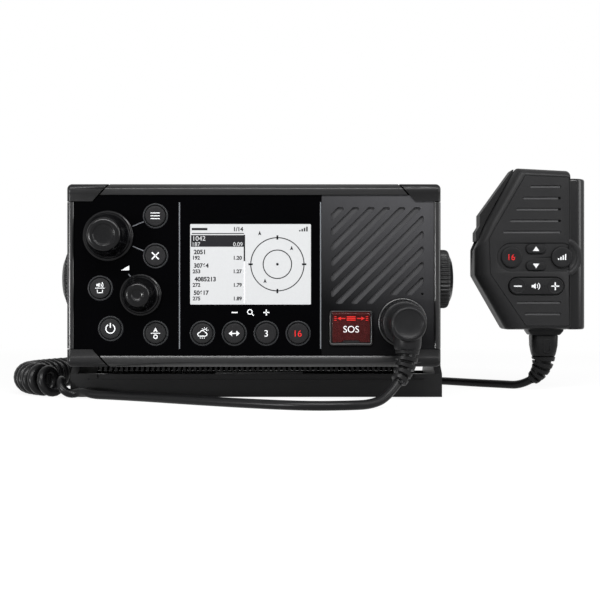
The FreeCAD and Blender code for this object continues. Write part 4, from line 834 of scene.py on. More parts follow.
@dataclass
class Fascia:
    """The gloss panel with the keys, their rings and the print around them."""

    x: tuple[float, float] = (-98.9, 37.0)
    z: tuple[float, float] = (25.5, 113.5)
    y: tuple[float, float] = PANEL_Y
    key_face: float = -71.1
    ring_outer: float = 6.95
    encoder_hole: float = 4.4
    mark_width: float = 0.52
    keys: dict[str, tuple[float, float]] = field(default_factory=lambda: {
        "key_menu": (-54.0, 102.1), "key_cancel": (-53.9, 80.2), "key_intercom": (-84.2, 62.5),
        "key_power": (-78.5, 40.3), "key_navigation": (-53.8, 37.8), "key_weather": (-28.2, 37.7),
        "key_scan": (-10.7, 37.7), "key_triple_watch": (6.8, 37.7), "key_16": (24.3, 37.7)})

    def sheet(self) -> None:
        """The panel itself, cut out for the keys, the encoders and the display."""
        holes = [circle(c, self.ring_outer, 72) for c in self.keys.values()]
        holes += [circle(c, self.encoder_hole, 32) for c in (MAIN_KNOB, VOLUME_KNOB)]
        holes.append(rounded_loop(rectangle(Screen.x, Screen.z), 0.5, 4))
        outer = rounded_loop(rectangle(self.x, self.z), 0.3, 2)
        panel("fascia_shown", outer, holes, self.y, 0.12).make(
            Finish.FASCIA, Body.RADIO, "gloss_black", ("fascia_panel",), 25.0)

    def rings(self) -> None:
        """The raised ring round each key, which turns down into the key's hole."""
        profile = [(6.98, 0.0), (6.96, 0.22), (6.84, 0.40), (6.62, 0.50), (6.40, 0.52), (6.16, 0.46),
                   (5.98, 0.30), (5.86, 0.05), (5.80, -0.5), (5.78, -2.9)]
        piece = Piece("key_rings")
        for centre in self.keys.values():
            base = (centre[0], self.y[0], centre[1])
            piece.turned(profile, base, segments=72, capped=False)
        piece.make(Finish.KEY_RING, Body.RADIO, "bezel_black")

    def cap(self, name: str, centre: tuple[float, float]) -> None:
        """A key cap: a shallow dish with a soft edge and a waist down to its flange."""
        base = self.y[1] - 1.0
        top = base - self.key_face
        profile = [(6.6, -0.8), (6.6, 0.8), (5.6, 0.8), (5.6, top - 0.55), (5.5, top - 0.25),
                   (5.25, top - 0.06), (4.9, top), (3.0, top - 0.05), (1.2, top - 0.09)]
        piece = Piece(name + "_shown").turned(profile, (centre[0], base, centre[1]), segments=64)
        piece.make(Finish.KEY, name, "key_rubber", (name,))

    def marks(self) -> dict[str, Print]:
        """The symbol on each key."""
        face = self.key_face + 0.07
        prints = {name: Print(name + "_mark", face) for name in self.keys}
        w = self.mark_width
        x, z = self.keys["key_menu"]
        for step in (1.55, 0.0, -1.55):
            prints["key_menu"].stroke((x - 2.5, z + step), (x + 2.5, z + step), w * 0.8)
        x, z = self.keys["key_cancel"]
        for lean in (-1, 1):
            prints["key_cancel"].stroke((x - 1.9, z - 1.9 * lean), (x + 1.9, z + 1.9 * lean), 0.62)
        x, z = self.keys["key_power"]
        prints["key_power"].arc((x, z), 2.45, 0.58, (120, 420), 48).stroke((x, z + 0.5), (x, z + 3.1), 0.6)
        x, z = self.keys["key_intercom"]
        mark = prints["key_intercom"].stroke((x - 2.6, z), (x + 2.6, z), w * 0.7)
        mark.area([(x - 1.9, z + 1.1), (x - 1.1, z + 1.1), (x - 0.2, z + 0.5), (x - 0.2, z + 2.9),
                   (x - 1.1, z + 2.3), (x - 1.9, z + 2.3)])
        mouth = (x - 0.1, z + 1.7)
        mark.arc(mouth, 0.9, 0.4, (-50, 50), 12).arc(mouth, 1.8, 0.4, (-50, 50), 16)
        mark.path([(x - 1.4, z - 0.9), (x - 1.4, z - 2.5), (x + 1.4, z - 2.5), (x + 1.4, z - 0.9)], 0.45)
        x, z = self.keys["key_navigation"]
        mark = prints["key_navigation"].stroke((x - 2.6, z), (x + 2.6, z), w * 0.7)
        mark.area([(x, z + 3.2), (x - 1.3, z + 0.6), (x, z + 1.25)])
        mark.area([(x, z + 3.2), (x, z + 1.25), (x + 1.3, z + 0.6)])
        mark.arc((x, z - 1.9), 0.95, 0.5)
        x, z = self.keys["key_scan"]
        for side in (-1, 1):
            near = x + side * 1.2
            prints["key_scan"].area([(x + side * 3.0, z), (near, z + 1.5), (near, z - 1.5)])
        prints["key_scan"].stroke((x - 1.3, z), (x + 1.3, z), w)
        self.weather_mark(prints["key_weather"])
        prints["key_triple_watch"].word("3", self.keys["key_triple_watch"], 3.6)
        prints["key_16"].word("16", self.keys["key_16"], 3.5)
        return prints

    def weather_mark(self, mark: Print) -> None:
        """A cloud of three arcs with a sun behind it and three drops below."""
        x, z = self.keys["key_weather"]
        mark.arc((x - 1.5, z - 0.5), 0.95, 0.5, (80, 275), 20)
        mark.arc((x + 0.1, z + 0.35), 1.25, 0.5, (20, 165), 20)
        mark.arc((x + 1.6, z - 0.45), 1.0, 0.5, (-95, 100), 20)
        mark.stroke((x - 1.5, z - 1.45), (x + 1.6, z - 1.45), 0.5)
        sun = (x + 1.5, z + 1.5)
        mark.arc(sun, 0.9, 0.4, (-10, 150), 16)
        for turn in (10, 55, 100, 145):
            near, far = (tuple(on_arc(sun, radius, math.radians(turn))) for radius in (1.45, 2.0))
            mark.stroke(near, far, 0.35)
        for drop in (-1.1, 0.0, 1.1):
            mark.disc((x + drop, z - 2.5), 0.3, 12)

    def print_lines(self) -> None:
        """The grey dividers, the lines from the knobs and the marks under the display."""
        grey = Print("fascia_lines", self.y[0] + 0.01)
        for x in (-40.8, 36.6):
            grey.stroke((x, 29.3), (x, 109.6), 0.62)
        for start, end in (((-66.5, 96.4), (-60.4, 99.0)), ((-66.5, 85.5), (-60.5, 83.0)),
                           ((-68.8, 70.3), (-67.4, 68.6))):
            grey.stroke(start, end, 0.5)
        grey.build(Finish.DIM_MARK, Body.RADIO, "bezel_black")
        white = Print("fascia_marks", self.y[0] + 0.01)
        white.area([(-73.0, 72.3), (-68.4, 72.3), (-68.4, 74.9)])
        z = 49.15
        white.stroke((-12.2, z), (-8.9, z), 0.62)
        white.stroke((5.2, z), (8.5, z), 0.62).stroke((6.85, z - 1.65), (6.85, z + 1.65), 0.62)
        white.arc((-2.2, z + 0.35), 1.25, 0.5).stroke((-1.25, z - 0.6), (-0.1, z - 1.75), 0.6)
        white.build(Finish.MARK, Body.RADIO, "bezel_black")

    def build(self) -> None:
        """Makes the panel, the rings, the keys and all the print."""
        self.sheet()
        self.rings()
        for name, centre in self.keys.items():
            self.cap(name, centre)
        for name, mark in self.marks().items():
            mark.build(Finish.RED_MARK if name == "key_16" else Finish.MARK, name, "key_rubber")
        self.print_lines()


@dataclass
class Screen:
    """The display: a glass face made pale by a painted glow, with rows of digits on the left and a ringed
    chart on the right.
    """

    x: tuple[float, float] = (-35.0, 31.3)
    z: tuple[float, float] = (53.5, 97.7)
    face: float = -69.4
    split: float = -5.2
    row_pitch: float = 7.45
    row_top: float = 7.0
    hub: tuple[float, float] = (12.9, 75.6)
    ring_radii: tuple[float, float] = (7.8, 14.6)

    def window(self, grow: float, corner: float) -> np.ndarray:
        """The display's outline, grown on every side."""
        box = rectangle((self.x[0] - grow, self.x[1] + grow), (self.z[0] - grow, self.z[1] + grow))
        return rounded_loop(box, corner, 4)

    def build(self) -> None:
        """Makes the face, made pale by painted glow, the dark print and the grey fields."""
        piece = Piece("display_face").plate(self.window(-0.05, 0.5), (self.face, PANEL_Y[1]))
        piece.plate(self.window(4.0, 1.0), (-66.49, -61.0))
        piece.make(Finish.SCREEN, Body.RADIO, "screen", ("lcd_display",))
        left, right = self.x[0] + 0.9, self.split - 0.6
        top = self.z[1] - 0.9
        ink = Print("display_ink", self.face + 0.01, 0.05, 0.035)
        shade = Print("display_shade", self.face + 0.01, 0.04)
        ink.stroke((left, top - 1.9), (left + 8.6, top - 1.9), 1.3)
        ink.word("1/14", (right - 2.6, top - 1.9), 2.4)
        ink.stroke((left, top - 4.3), (right + 0.3, top - 4.3), 0.5)
        rows = [("1042", "187", "0.09"), ("2051", "192", "1.20"), ("30764", "253", "1.27"),
                ("4085213", "272", "1.79"), ("50617", "275", "1.89")]
        # the first row's digits, in the display face's finish with its painted glow
        pale = Print("display_pale_painted_glow", self.face - 0.04, 0.03)
        for k, (number, bearing, distance) in enumerate(rows):
            z = top - self.row_top - k * self.row_pitch
            target = ink if k else pale
            target.word(number, (left + 1.05 * len(number), z), 2.6)
            target.word(bearing, (left + 2.6, z - 3.2), 2.2)
            target.word(distance, (right - 3.0, z - 3.2), 2.2)
        z = top - self.row_top
        ink.area(rectangle((left - 0.4, right + 0.3), (z - 4.6, z + 1.8)))
        shade.stroke((self.split, self.z[0] + 0.8), (self.split, top - 5.0), 0.5)
        ink.stroke((self.split, top - 19.5), (self.split, top - 5.0), 0.8)
        self.chart(ink)
        ink.build(Finish.SCREEN_INK, Body.RADIO, "screen")
        shade.build(Finish.SCREEN_SHADE, Body.RADIO, "screen")
        pale.build(Finish.SCREEN, Body.RADIO, "screen")

    def chart(self, ink: Print) -> None:
        """Two rings about the middle, bars at the quarters, small pointers and a signal symbol."""
        for radius in self.ring_radii:
            ink.arc(self.hub, radius, 0.55, count=90)
        ink.disc(self.hub, 0.75, 16)
        for turn in range(0, 360, 90):
            near, far = (tuple(on_arc(self.hub, radius, math.radians(turn))) for radius in (13.5, 15.9))
            ink.stroke(near, far, 1.0)
        for x, z in ((3.2, 92.4), (20.7, 84.2), (6.1, 66.2)):
            ink.area([(x, z + 1.6), (x - 0.9, z - 0.9), (x, z - 0.4)])
            ink.area([(x, z + 1.6), (x, z - 0.4), (x + 0.9, z - 0.9)])
        for k in range(4):
            ink.stroke((25.2 + k * 1.3, 93.6), (25.2 + k * 1.3, 94.4 + k * 0.6), 0.8)


MAIN_KNOB = (-79.7, 91.1)
VOLUME_KNOB = (-61.9, 58.8)


@dataclass
class Knobs:
    """The two turned knobs."""

    base_y: float = -70.6

    def main_profile(self) -> list[tuple[float, float]]:
        """Flange, waist with two steps, and a crown with a sunk disc."""
        return [(6.1, 0.0), (13.9, 0.0), (13.9, 0.9), (13.8, 1.35), (13.45, 1.65), (12.95, 1.8),
                (12.55, 2.1), (12.4, 2.9), (12.25, 3.3), (11.9, 3.55), (11.55, 4.1), (11.0, 5.6),
                (10.4, 7.6), (10.0, 9.8), (9.75, 12.0), (9.65, 13.2), (9.62, 13.6), (9.45, 13.9),
                (9.3, 14.3), (9.25, 15.0), (9.1, 15.7), (8.8, 16.25), (8.35, 16.7), (7.8, 16.93),
                (7.2, 17.0), (6.1, 17.0), (5.8, 16.92), (5.62, 16.7), (5.5, 16.45), (5.2, 16.36),
                (2.0, 16.36)]

    def volume_profile(self) -> list[tuple[float, float]]:
        """The same forms on the smaller knob."""
        return [(4.6, 0.0), (11.5, 0.0), (11.5, 0.8), (11.4, 1.15), (11.1, 1.4), (10.6, 1.55),
                (10.25, 1.85), (10.1, 2.5), (9.9, 2.85), (9.5, 3.1), (9.1, 3.7), (8.5, 5.1),
                (7.95, 6.9), (7.55, 8.8), (7.3, 10.8), (7.2, 11.7), (7.15, 12.0), (6.98, 12.25),
                (6.85, 12.6), (6.8, 13.2), (6.65, 13.8), (6.3, 14.4), (5.85, 14.8), (5.35, 14.97),
                (4.9, 15.0), (3.3, 15.0), (3.05, 14.92), (2.9, 14.72), (2.7, 14.56), (1.2, 14.5)]

    def build(self) -> None:
        """Turns both knobs."""
        for name, centre, profile in (("main_knob", MAIN_KNOB, self.main_profile()),
                                      ("volume_knob", VOLUME_KNOB, self.volume_profile())):
            piece = Piece(name + "_shown").turned(profile, (centre[0], self.base_y, centre[1]), segments=144)
            piece.make(Finish.KNOB, name, "knob_black", (name,), 50.0)


@dataclass
class SpeakerPanel:
    """The matte panel with diagonal sound slots, the cloth behind them and the well for the red flap."""

    x: tuple[float, float] = (37.2, 98.9)
    z: tuple[float, float] = (25.5, 113.5)
    y: tuple[float, float] = PANEL_Y
    field_x: tuple[float, float] = (42.3, 93.1)
    field_z: tuple[float, float] = (53.9, 106.9)
    lower_z: float = 58.6
    count: int = 12
    short_from: int = 9
    pitch: float = 5.96
    width: float = 3.2
    first: float = 58.6
    slot_corner: float = 0.9
    least_width: float = 2.0
    cloth_y: float = -68.1

    def slots(self) -> list[np.ndarray]:
        """Bands at 45 degrees, clipped by the field and rounded at their corners."""
        loops = []
        root = math.sqrt(0.5)
        for k in range(self.count):
            low = self.lower_z if k >= self.short_from else self.field_z[0]
            box = [np.array(p) for p in rectangle(self.field_x, (low, self.field_z[1]))]
            rise = (self.first - k * self.pitch * math.sqrt(2)) * root
            band = clipped(box, (-root, root), rise + self.width / 2)
            band = clipped(band, (root, -root), -rise + self.width / 2)
            corners = [p for i, p in enumerate(band) if np.linalg.norm(p - band[i - 1]) > 0.05]
            if max(p[0] for p in corners) - min(p[0] for p in corners) < self.least_width:
                continue
            sides = [np.linalg.norm(p - corners[i - 1]) for i, p in enumerate(corners)]
            radius = min(self.slot_corner, min(sides) * 0.4)
            loops.append(rounded_loop([tuple(p) for p in corners], radius, 4))
        return loops

    def build(self) -> None:
        """Makes the panel with its holes, and the woven cloth behind the slots."""
        holes = self.slots()
        holes.append(rounded_loop(rectangle(DistressKey.outer_x, DistressKey.outer_z), 1.4, 5))
        holes.append(circle(SOCKET, SOCKET_RADIUS, 72))
        outer = rounded_loop(rectangle(self.x, self.z), 0.3, 2)
        # the panel's finish carries painted light, lighter towards its upper right
        panel("speaker_panel_shown", outer, holes, self.y, 0.18).make(
            Finish.GRILLE, Body.RADIO, "grille_grey", ("speaker_panel",), 12.0)
        cloth = rounded_loop(rectangle((self.field_x[0] - 1, self.field_x[1] + 1),
                                       (self.field_z[0] - 1, self.field_z[1] + 1)), 2.0, 4)
        Piece("speaker_cloth").plate(cloth, (self.cloth_y, self.cloth_y + 0.5)).make(
            Finish.CLOTH, Body.RADIO, "speaker_black")


@dataclass
class DistressKey:
    """The red flap in its surround, with the key below it."""

    outer_x: tuple[float, float] = (41.5, 65.1)
    outer_z: tuple[float, float] = (31.0, 50.1)
    cover_x: tuple[float, float] = (43.0, 63.6)
    cover_z: tuple[float, float] = (32.8, 48.2)
    hinge: tuple[float, float] = (-70.8, 48.2)
    hinge_radius: float = 1.25

    def surround(self) -> None:
        """A rounded rim that falls into a well.

        Each ring is a rounded rectangle, further in and at its own depth.
        """
        steps = [(0.0, -66.5), (0.0, -70.6), (0.1, -70.95), (0.35, -71.15), (0.65, -71.2), (0.9, -71.1),
                 (1.05, -70.9), (1.1, -70.4), (1.1, -69.0)]
        rings = []
        for inset, y in steps:
            x = (self.outer_x[0] + inset, self.outer_x[1] - inset)
            z = (self.outer_z[0] + inset * 1.25, self.outer_z[1] - inset * 0.6)
            rings.append(at_depth(rounded_loop(rectangle(x, z), max(1.4 - inset * 0.7, 0.5), 6), y))
        piece = Piece("distress_surround").loft(rings, capped=False)
        inner = rounded_loop(rectangle((45.3, 60.9), (33.8, 45.7)), 0.6, 6)
        piece.loft([rings[-1], at_depth(inner, -69.0), at_depth(inner, -64.2)], capped=False)
        piece.make(Finish.BEZEL, Body.RADIO, "bezel_black", ("distress_frame",), 40.0)

    def cover(self) -> None:
        """The flap: a plate with a rounded front edge, whose top edge wraps the hinge, with a nail notch
        below.
        """
        x, z = self.cover_x, self.cover_z
        middle = (x[0] + x[1]) / 2
        outline = [(x[0], z[1] - 0.2), (x[0], z[0]), (middle - 5.0, z[0]), (middle - 4.2, z[0] + 1.1),
                   (middle + 4.2, z[0] + 1.1), (middle + 5.0, z[0]), (x[1], z[0]), (x[1], z[1] - 0.2)]
        loop = rounded_loop(outline[::-1], 0.35, 4)
        piece = Piece("distress_flap").plate(loop, (-71.4, -70.2), 0.3)
        roll = circle(self.hinge, self.hinge_radius, 24)
        piece.loft([at_side(roll, end) for end in (x[0] + 0.1, x[1] - 0.1)])
        piece.make(Finish.RED_FLAP, "distress_cover", "red_clear", ("distress_cover",))
        red = Print("distress_flap_marks", -71.38)
        z = 46.0
        for step in (0.8, -0.1, -1.0):
            red.stroke((middle - 2.4, z + step), (middle + 2.4, z + step), 0.55)
        for side in (-1, 1):
            near = middle + side * 5.6
            red.area([(middle + side * 7.4, z - 0.1), (near, z + 0.9), (near, z - 1.1)])
            red.stroke((middle + side * 3.2, z - 0.1), (middle + side * 5.8, z - 0.1), 0.45)
            for step in (0.9, -0.1, -1.1):
                red.stroke((middle + side * 8.0, z + step), (middle + side * 9.3, z + step), 0.35)
        red.build(Finish.RED_BRIGHT, "distress_cover", "red_clear")
        Print("distress_word", -71.38).word("SOS", (middle, 40.0), 3.6).build(
            Finish.MARK, "distress_cover", "red_clear")

    def key(self) -> None:
        """The key under the flap."""
        loop = rounded_loop(rectangle((45.6, 60.6), (34.1, 45.4)), 0.8, 6)
        Piece("distress_key").plate(loop, (-68.8, -63.0), 0.5).make(
            Finish.RED_KEY, "distress_button", "red_key", ("distress_button",))

    def build(self) -> None:
        """Makes the surround, the flap and the key."""
        self.surround()
        self.cover()
        self.key()


def arc_frames(start: tuple[float, float, float], heading: tuple[float, float, float], bend: float,
               turn: float, count: int) -> tuple[np.ndarray, np.ndarray, np.ndarray]:
    """Points and section axes along an arc that leaves straight down and turns towards a heading.

    The point at angle a is start + heading * bend * (1 - cos a) + down * bend * sin a.

    Args:
        start: the arc's first point.
        heading: the level direction that it turns to.
        bend: its radius.
        turn: its whole angle.
        count: how many points.

    Returns:
        The points, the axis across the bend and the axis out of it.
    """
    angle = np.linspace(0, turn, count)[:, None]
    way, down = np.array(heading), np.array([0.0, 0.0, -1.0])
    point = np.array(start) + way * bend * (1 - np.cos(angle)) + down * bend * np.sin(angle)
    tangent = way * np.sin(angle) + down * np.cos(angle)
    across = np.tile(np.cross(way, down), (count, 1))
    return point, across, np.cross(tangent, across)


@dataclass
class RibbedBoot:
    """A bend relief: a taper whose ribs are joined by bridges that change sides from gap to gap."""

    start: tuple[float, float, float]
    heading: tuple[float, float, float]
    bend: float
    turn: float
    core: tuple[float, float]
    rib: float
    ribs: int = 5
    duty: float = 0.6
    sides: int = 64
    steps: int = 141

    def grid(self) -> np.ndarray:
        """The surface as a grid of points.

        The radius is the core's taper plus the rib's height wherever a rib or a bridge is. A rib fills
        the first part of each pitch; the bridges fill two quarters of the turn, shifted a quarter from
        one gap to the next.

        Returns:
            An array of (steps, sides, 3).
        """
        point, across, out = arc_frames(self.start, self.heading, self.bend, self.turn, self.steps)
        share = np.linspace(0, 1, self.steps)
        theta = np.arange(self.sides) * 2 * np.pi / self.sides
        pitch = share * self.ribs
        phase = pitch - np.floor(pitch)
        near = np.minimum(np.abs(phase - self.duty / 2), 1 - np.abs(phase - self.duty / 2))
        rise = smooth_step((self.duty / 2 - near) / 0.08 + 0.5)
        quarter = (np.floor(pitch) % 2) * np.pi / 2
        bridge = np.clip(np.cos(2 * (theta[None, :] - quarter[:, None])) * 3.0 - 1.9, 0, 1)
        full = np.maximum(rise[:, None], bridge * 0.9)
        taper = (self.core[0] + (self.core[1] - self.core[0]) * share)[:, None]
        radius = taper + self.rib * (full * 1.5 - 0.6)
        end = np.clip((1 - share) / 0.02, 0, 1)[:, None]
        radius = np.where(end < 1, self.core[1] + (radius - self.core[1]) * end, radius)
        level = across[:, None, :] * np.cos(theta)[None, :, None]
        ring = level + out[:, None, :] * np.sin(theta)[None, :, None]
        return point[:, None, :] + ring * radius[:, :, None]


@dataclass
class Plug:
    """The handset's right-angle plug, its knurled ring, its boot and the socket behind it."""

    ring_y: float = -71.6
    cap_y: float = -84.0
    neck_y: float = -100.0
    neck_end: float = 30.0
    grooves: int = 30
    groove_depth: float = 0.55

    def socket(self) -> None:
        """The socket's rounded ring in the panel and its barrel."""
        profile = [(SOCKET_RADIUS, -3.1), (SOCKET_RADIUS, 1.0), (13.3, 1.3), (13.0, 1.52), (12.6, 1.6),
                   (12.2, 1.52), (11.9, 1.3), (11.75, 0.9), (11.6, 0.3), (9.2, 0.2), (8.5, 0.25), (8.5, 8.4),
                   (6.5, 8.4), (6.5, 4.4)]
        Piece("mic_socket_shown").turned(profile, (SOCKET[0], PANEL_Y[0], SOCKET[1])).make(
            Finish.BEZEL, Body.RADIO, "connector_black", ("mic_socket",))

    def ring(self) -> bpy.types.Object:
        """The lock ring: its radius dips at each of its grooves, except at its rounded edges."""
        steps = [(0.0, 8.7, 0), (0.0, 11.6, 0), (0.25, 12.0, 0), (0.8, 12.2, 0), (2.2, 12.2, 0),
                 (2.6, 12.15, 1), (9.8, 12.15, 1), (10.6, 12.1, 1), (11.4, 12.0, 0.6), (12.0, 11.6, 0),
                 (12.4, 10.8, 0), (12.4, 9.6, 0)]
        turn = np.arange(360) * 2 * np.pi / 360
        groove = np.clip(np.cos(turn * self.grooves) * 3 - 1.9, 0, 1)
        rings = []
        for height, radius, depth in steps:
            reach = radius - groove * depth * self.groove_depth
            rings.append(at_depth(circle(SOCKET, reach, 360), self.ring_y - height))
        return Piece("plug_ring").loft(rings).make(
            Finish.PLUG, Body.RADIO, "connector_black", ("plug_lock_ring",))

    def body(self) -> bpy.types.Object:
        """The cap turned about Y, and the neck turned about Z that leaves it downwards."""
        cap = [(9.0, 0.0), (9.35, 0.3), (9.4, 1.0), (9.4, 22.9), (9.33, 23.5), (9.1, 24.1), (8.7, 24.6),
               (8.2, 24.9), (7.75, 25.0), (7.45, 24.93), (7.3, 24.7), (7.1, 24.52), (2.0, 24.5)]
        piece = Piece("plug_shell").turned(cap, (SOCKET[0], self.cap_y, SOCKET[1]), segments=96)
        neck = [(SOCKET[1] - 2.0, 7.4), (36.0, 7.4), (33.5, 7.3), (31.4, 7.1), (30.5, 6.8),
                (self.neck_end, 6.3)]
        piece.loft([at_height(circle((SOCKET[0], self.neck_y), radius, 64), z) for z, radius in neck])
        return piece.make(Finish.PLUG, Body.RADIO, "connector_black", ("plug_body",), 50.0)

    def boot(self) -> bpy.types.Object:
        """The ribbed boot from the neck to the cord."""
        boot = RibbedBoot((SOCKET[0], self.neck_y, self.neck_end), heading=(-0.8, -0.6, 0.0), bend=24.5,
                          turn=math.radians(45.0), core=(5.2, 2.9), rib=1.35)
        return Piece("plug_boot_shown").loft(list(boot.grid())).make(
            Finish.BOOT, Body.RADIO, "boot_rubber", ("plug_boot",), 60.0)

    def build(self) -> list[bpy.types.Object]:
        """Makes all four and returns the three that are on the cord."""
        self.socket()
        return [self.ring(), self.body(), self.boot()]


# The handset

@dataclass
class Handset:
    """The fist handset: two bevelled shells, a talk key along the slant, keys, slots, a rail and a boot."""

    outline: list[tuple[float, float]] = field(default_factory=lambda: [
        (157.3, 136.7), (190.0, 135.0), (190.0, 37.9), (151.1, 37.9), (132.1, 71.0), (132.1, 87.2),
        (139.4, 104.0)])
    hollow: list[tuple[float, float]] = field(default_factory=lambda: [
        (159.0, 136.6), (190.0, 135.0), (190.0, 37.9), (151.1, 37.9), (132.1, 71.0), (132.9, 86.6),
        (140.9, 103.2)])
    face: list[tuple[float, float]] = field(default_factory=lambda: [
        (161.8, 132.3), (189.4, 131.0), (189.4, 39.6), (162.3, 39.6), (140.4, 71.6), (139.6, 93.2),
        (143.8, 101.0)])
    back: list[tuple[float, float]] = field(default_factory=lambda: [
        (163.0, 130.5), (186.0, 129.5), (186.0, 42.0), (156.0, 42.0), (139.5, 72.5), (139.5, 90.0),
        (145.0, 100.5)])
    corner: float = 2.6
    bevel: float = 8.0
    front_bevel_y: float = 9.0
    back_bevel_y: float = 25.0
    key_16: tuple[float, float] = (153.7, 82.0)
    key_power: tuple[float, float] = (184.1, 82.0)
    key_radius: float = 6.3
    key_gap: float = 0.15
    channel_x: tuple[float, float] = (162.4, 174.6)
    channel_z: tuple[tuple[float, float], tuple[float, float]] = ((84.2, 89.9), (73.9, 79.6))
    rocker_x: tuple[float, float] = (152.1, 185.4)
    rocker_z: tuple[float, float] = (59.2, 69.6)
    slots: list[tuple[float, float]] = field(default_factory=lambda: [
        (164.8, 124.8), (160.6, 117.8), (156.5, 111.0), (152.6, 104.0), (148.4, 97.2), (156.5, 54.4),
        (161.6, 47.4)])
    slot_end: float = 183.9
    slot_height: float = 1.8
    front_y: float = 1.0
    dish_depth: float = 0.75
    dish_end: float = 188.9

    def blend(self, share: float, other: list[tuple[float, float]]) -> list[tuple[float, float]]:
        """The outline moved by a share of the way to another."""
        return [(a[0] + (b[0] - a[0]) * share, a[1] + (b[1] - a[1]) * share)
                for a, b in zip(self.outline, other)]

    def pill(self, x: tuple[float, float], z: tuple[float, float], grow: float = 0.0) -> np.ndarray:
        """An oblong loop with half-round ends."""
        radius = (z[1] - z[0]) / 2 + grow
        box = rectangle((x[0] - grow, x[1] + grow), (z[0] - grow, z[1] + grow))
        return rounded_loop(box, radius * 0.998, 10)

    def dish(self) -> np.ndarray:
        """The shared hollow round the two round keys and the channel keys, straight at its right end."""
        radius = self.key_radius + 2.6
        left, right = self.key_16, self.key_power
        start = np.radians(np.linspace(90, 270, 31))
        bend = math.degrees(math.acos((self.dish_end - right[0]) / radius))
        low, high = np.radians(np.linspace(-90, -bend, 8)), np.radians(np.linspace(bend, 90, 8))
        arcs = ((left, start), (right, low), (right, high))
        return np.concatenate([on_arc(centre, radius, turn) for centre, turn in arcs])

    def dish_floor(self) -> np.ndarray:
        """The hollow's floor, notched at its right end by the round key's well."""
        outer = shrunk(self.dish(), 0.6)
        radius, edge = self.key_radius + self.key_gap, outer[:, 0].max()
        bend = math.acos((edge - self.key_power[0]) / radius)
        well = on_arc(self.key_power, radius, np.linspace(2 * math.pi - bend, bend, 41))
        return np.concatenate([outer[:-8], well, outer[-8:]])

    def front_shell(self) -> None:
        """The front half.

        Its bevel is a quarter ellipse: at angle a the outline has moved 1 - cos(a) of the way to the
        face, and risen sin(a) of the way forward. The face is flat, with the slots, the dish and the
        rocker's well let in.
        """
        piece = Piece("handset_front")
        rings = []
        for outline, y in ((self.hollow, 17.0), (self.hollow, 9.2), (self.outline, 9.15),
                           (self.outline, self.front_bevel_y)):
            rings.append(at_depth(rounded_loop(outline, self.corner, 6), y))
        for share in np.linspace(0.08, 1.0, 12):
            a = share * math.pi / 2
            loop = rounded_loop(self.blend(1 - math.cos(a), self.face), self.corner - 1.0 * share, 6)
            rings.append(at_depth(loop, self.front_bevel_y - self.bevel * math.sin(a)))
        rim = rings[-1][:, [0, 2]]
        for inset, y in ((0.2, self.front_y), (0.35, self.front_y + 0.4), (0.65, self.front_y + 0.4),
                         (0.8, self.front_y)):
            rings.append(at_depth(shrunk(rim, inset), y))
        piece.loft(rings, capped=False)
        slots = [self.pill((x, self.slot_end), (z - self.slot_height / 2, z + self.slot_height / 2))
                 for x, z in self.slots]
        dish, well = self.dish(), self.pill(self.rocker_x, self.rocker_z, 0.7)
        piece.fill([shrunk(rim, 0.8)] + slots + [dish, well], self.front_y)
        for hole in slots:
            piece.loft([at_depth(hole, self.front_y), at_depth(shrunk(hole, 0.25), self.front_y + 0.25),
                        at_depth(shrunk(hole, 0.3), self.front_y + 0.9)], capped=False)
        steps = ((0.0, 0.0), (0.1, 0.05), (0.35, 0.5), (0.6, 1.0))
        piece.loft([at_depth(shrunk(dish, inset), self.front_y + self.dish_depth * share)
                    for inset, share in steps], capped=False)
        piece.fill([self.dish_floor()] + self.key_wells(), self.front_y + self.dish_depth)
        steps = ((0.0, 0.0), (0.15, 0.08), (0.5, 0.8), (0.5, 3.0))
        piece.loft([at_depth(shrunk(well, inset), self.front_y + drop)
                    for inset, drop in steps], capped=False)
        for cut in self.key_wells() + [self.round_well(self.key_power)]:
            piece.loft([at_depth(cut, self.front_y + drop) for drop in (self.dish_depth, 3.0)], capped=False)
        piece.make(Finish.HANDSET, Body.BRACKET, "handset_black", ("handset_front_shell",), 24.0)
        floor = Piece("handset_slot_floors")
        for hole in slots:
            loop = shrunk(hole, 0.28)
            floor.loft([at_depth(loop, self.front_y + 1.2), at_depth(loop, self.front_y + 0.85)])
        floor.make(Finish.HANDSET_SLOT, Body.BRACKET, "handset_black")
        dark = Piece("handset_slot_ends")
        for _, z in self.slots[1:4]:
            end = circle((self.slot_end - 0.9, z), 0.85, 20)
            dark.loft([at_depth(end, self.front_y + drop) for drop in (0.84, 0.72)])
        dark.make(Finish.INSIDE, Body.BRACKET, "handset_black")

    def key_wells(self) -> list[np.ndarray]:
        """The openings of the three keys that lie wholly in the dish."""
        channels = [self.pill(self.channel_x, z, self.key_gap) for z in self.channel_z]
        return [self.round_well(self.key_16)] + channels

    def round_well(self, centre: tuple[float, float]) -> np.ndarray:
        """The opening of a round key."""
        return circle(centre, self.key_radius + self.key_gap, 48)

    def back_shell(self) -> None:
        """The rear half, with the same bevel towards the back's outline."""
        rings = []
        for outline, y in ((self.hollow, 17.15), (self.hollow, 24.8), (self.outline, 24.85),
                           (self.outline, self.back_bevel_y)):
            rings.append(at_depth(rounded_loop(outline, self.corner, 6), y))
        for share in np.linspace(0.1, 1.0, 10):
            a = share * math.pi / 2
            loop = rounded_loop(self.blend(1 - math.cos(a), self.back), self.corner, 6)
            rings.append(at_depth(loop, self.back_bevel_y + self.bevel * math.sin(a)))
        Piece("handset_back").loft(rings).make(
            Finish.HANDSET, Body.BRACKET, "handset_black", ("handset_back_shell",), 30.0)
        seam = [at_depth(shrunk(rounded_loop(self.hollow, self.corner, 6), 0.35), y) for y in (16.8, 17.4)]
        Piece("handset_seam").loft(seam, capped=False).make(Finish.INSIDE, Body.BRACKET, "handset_black")

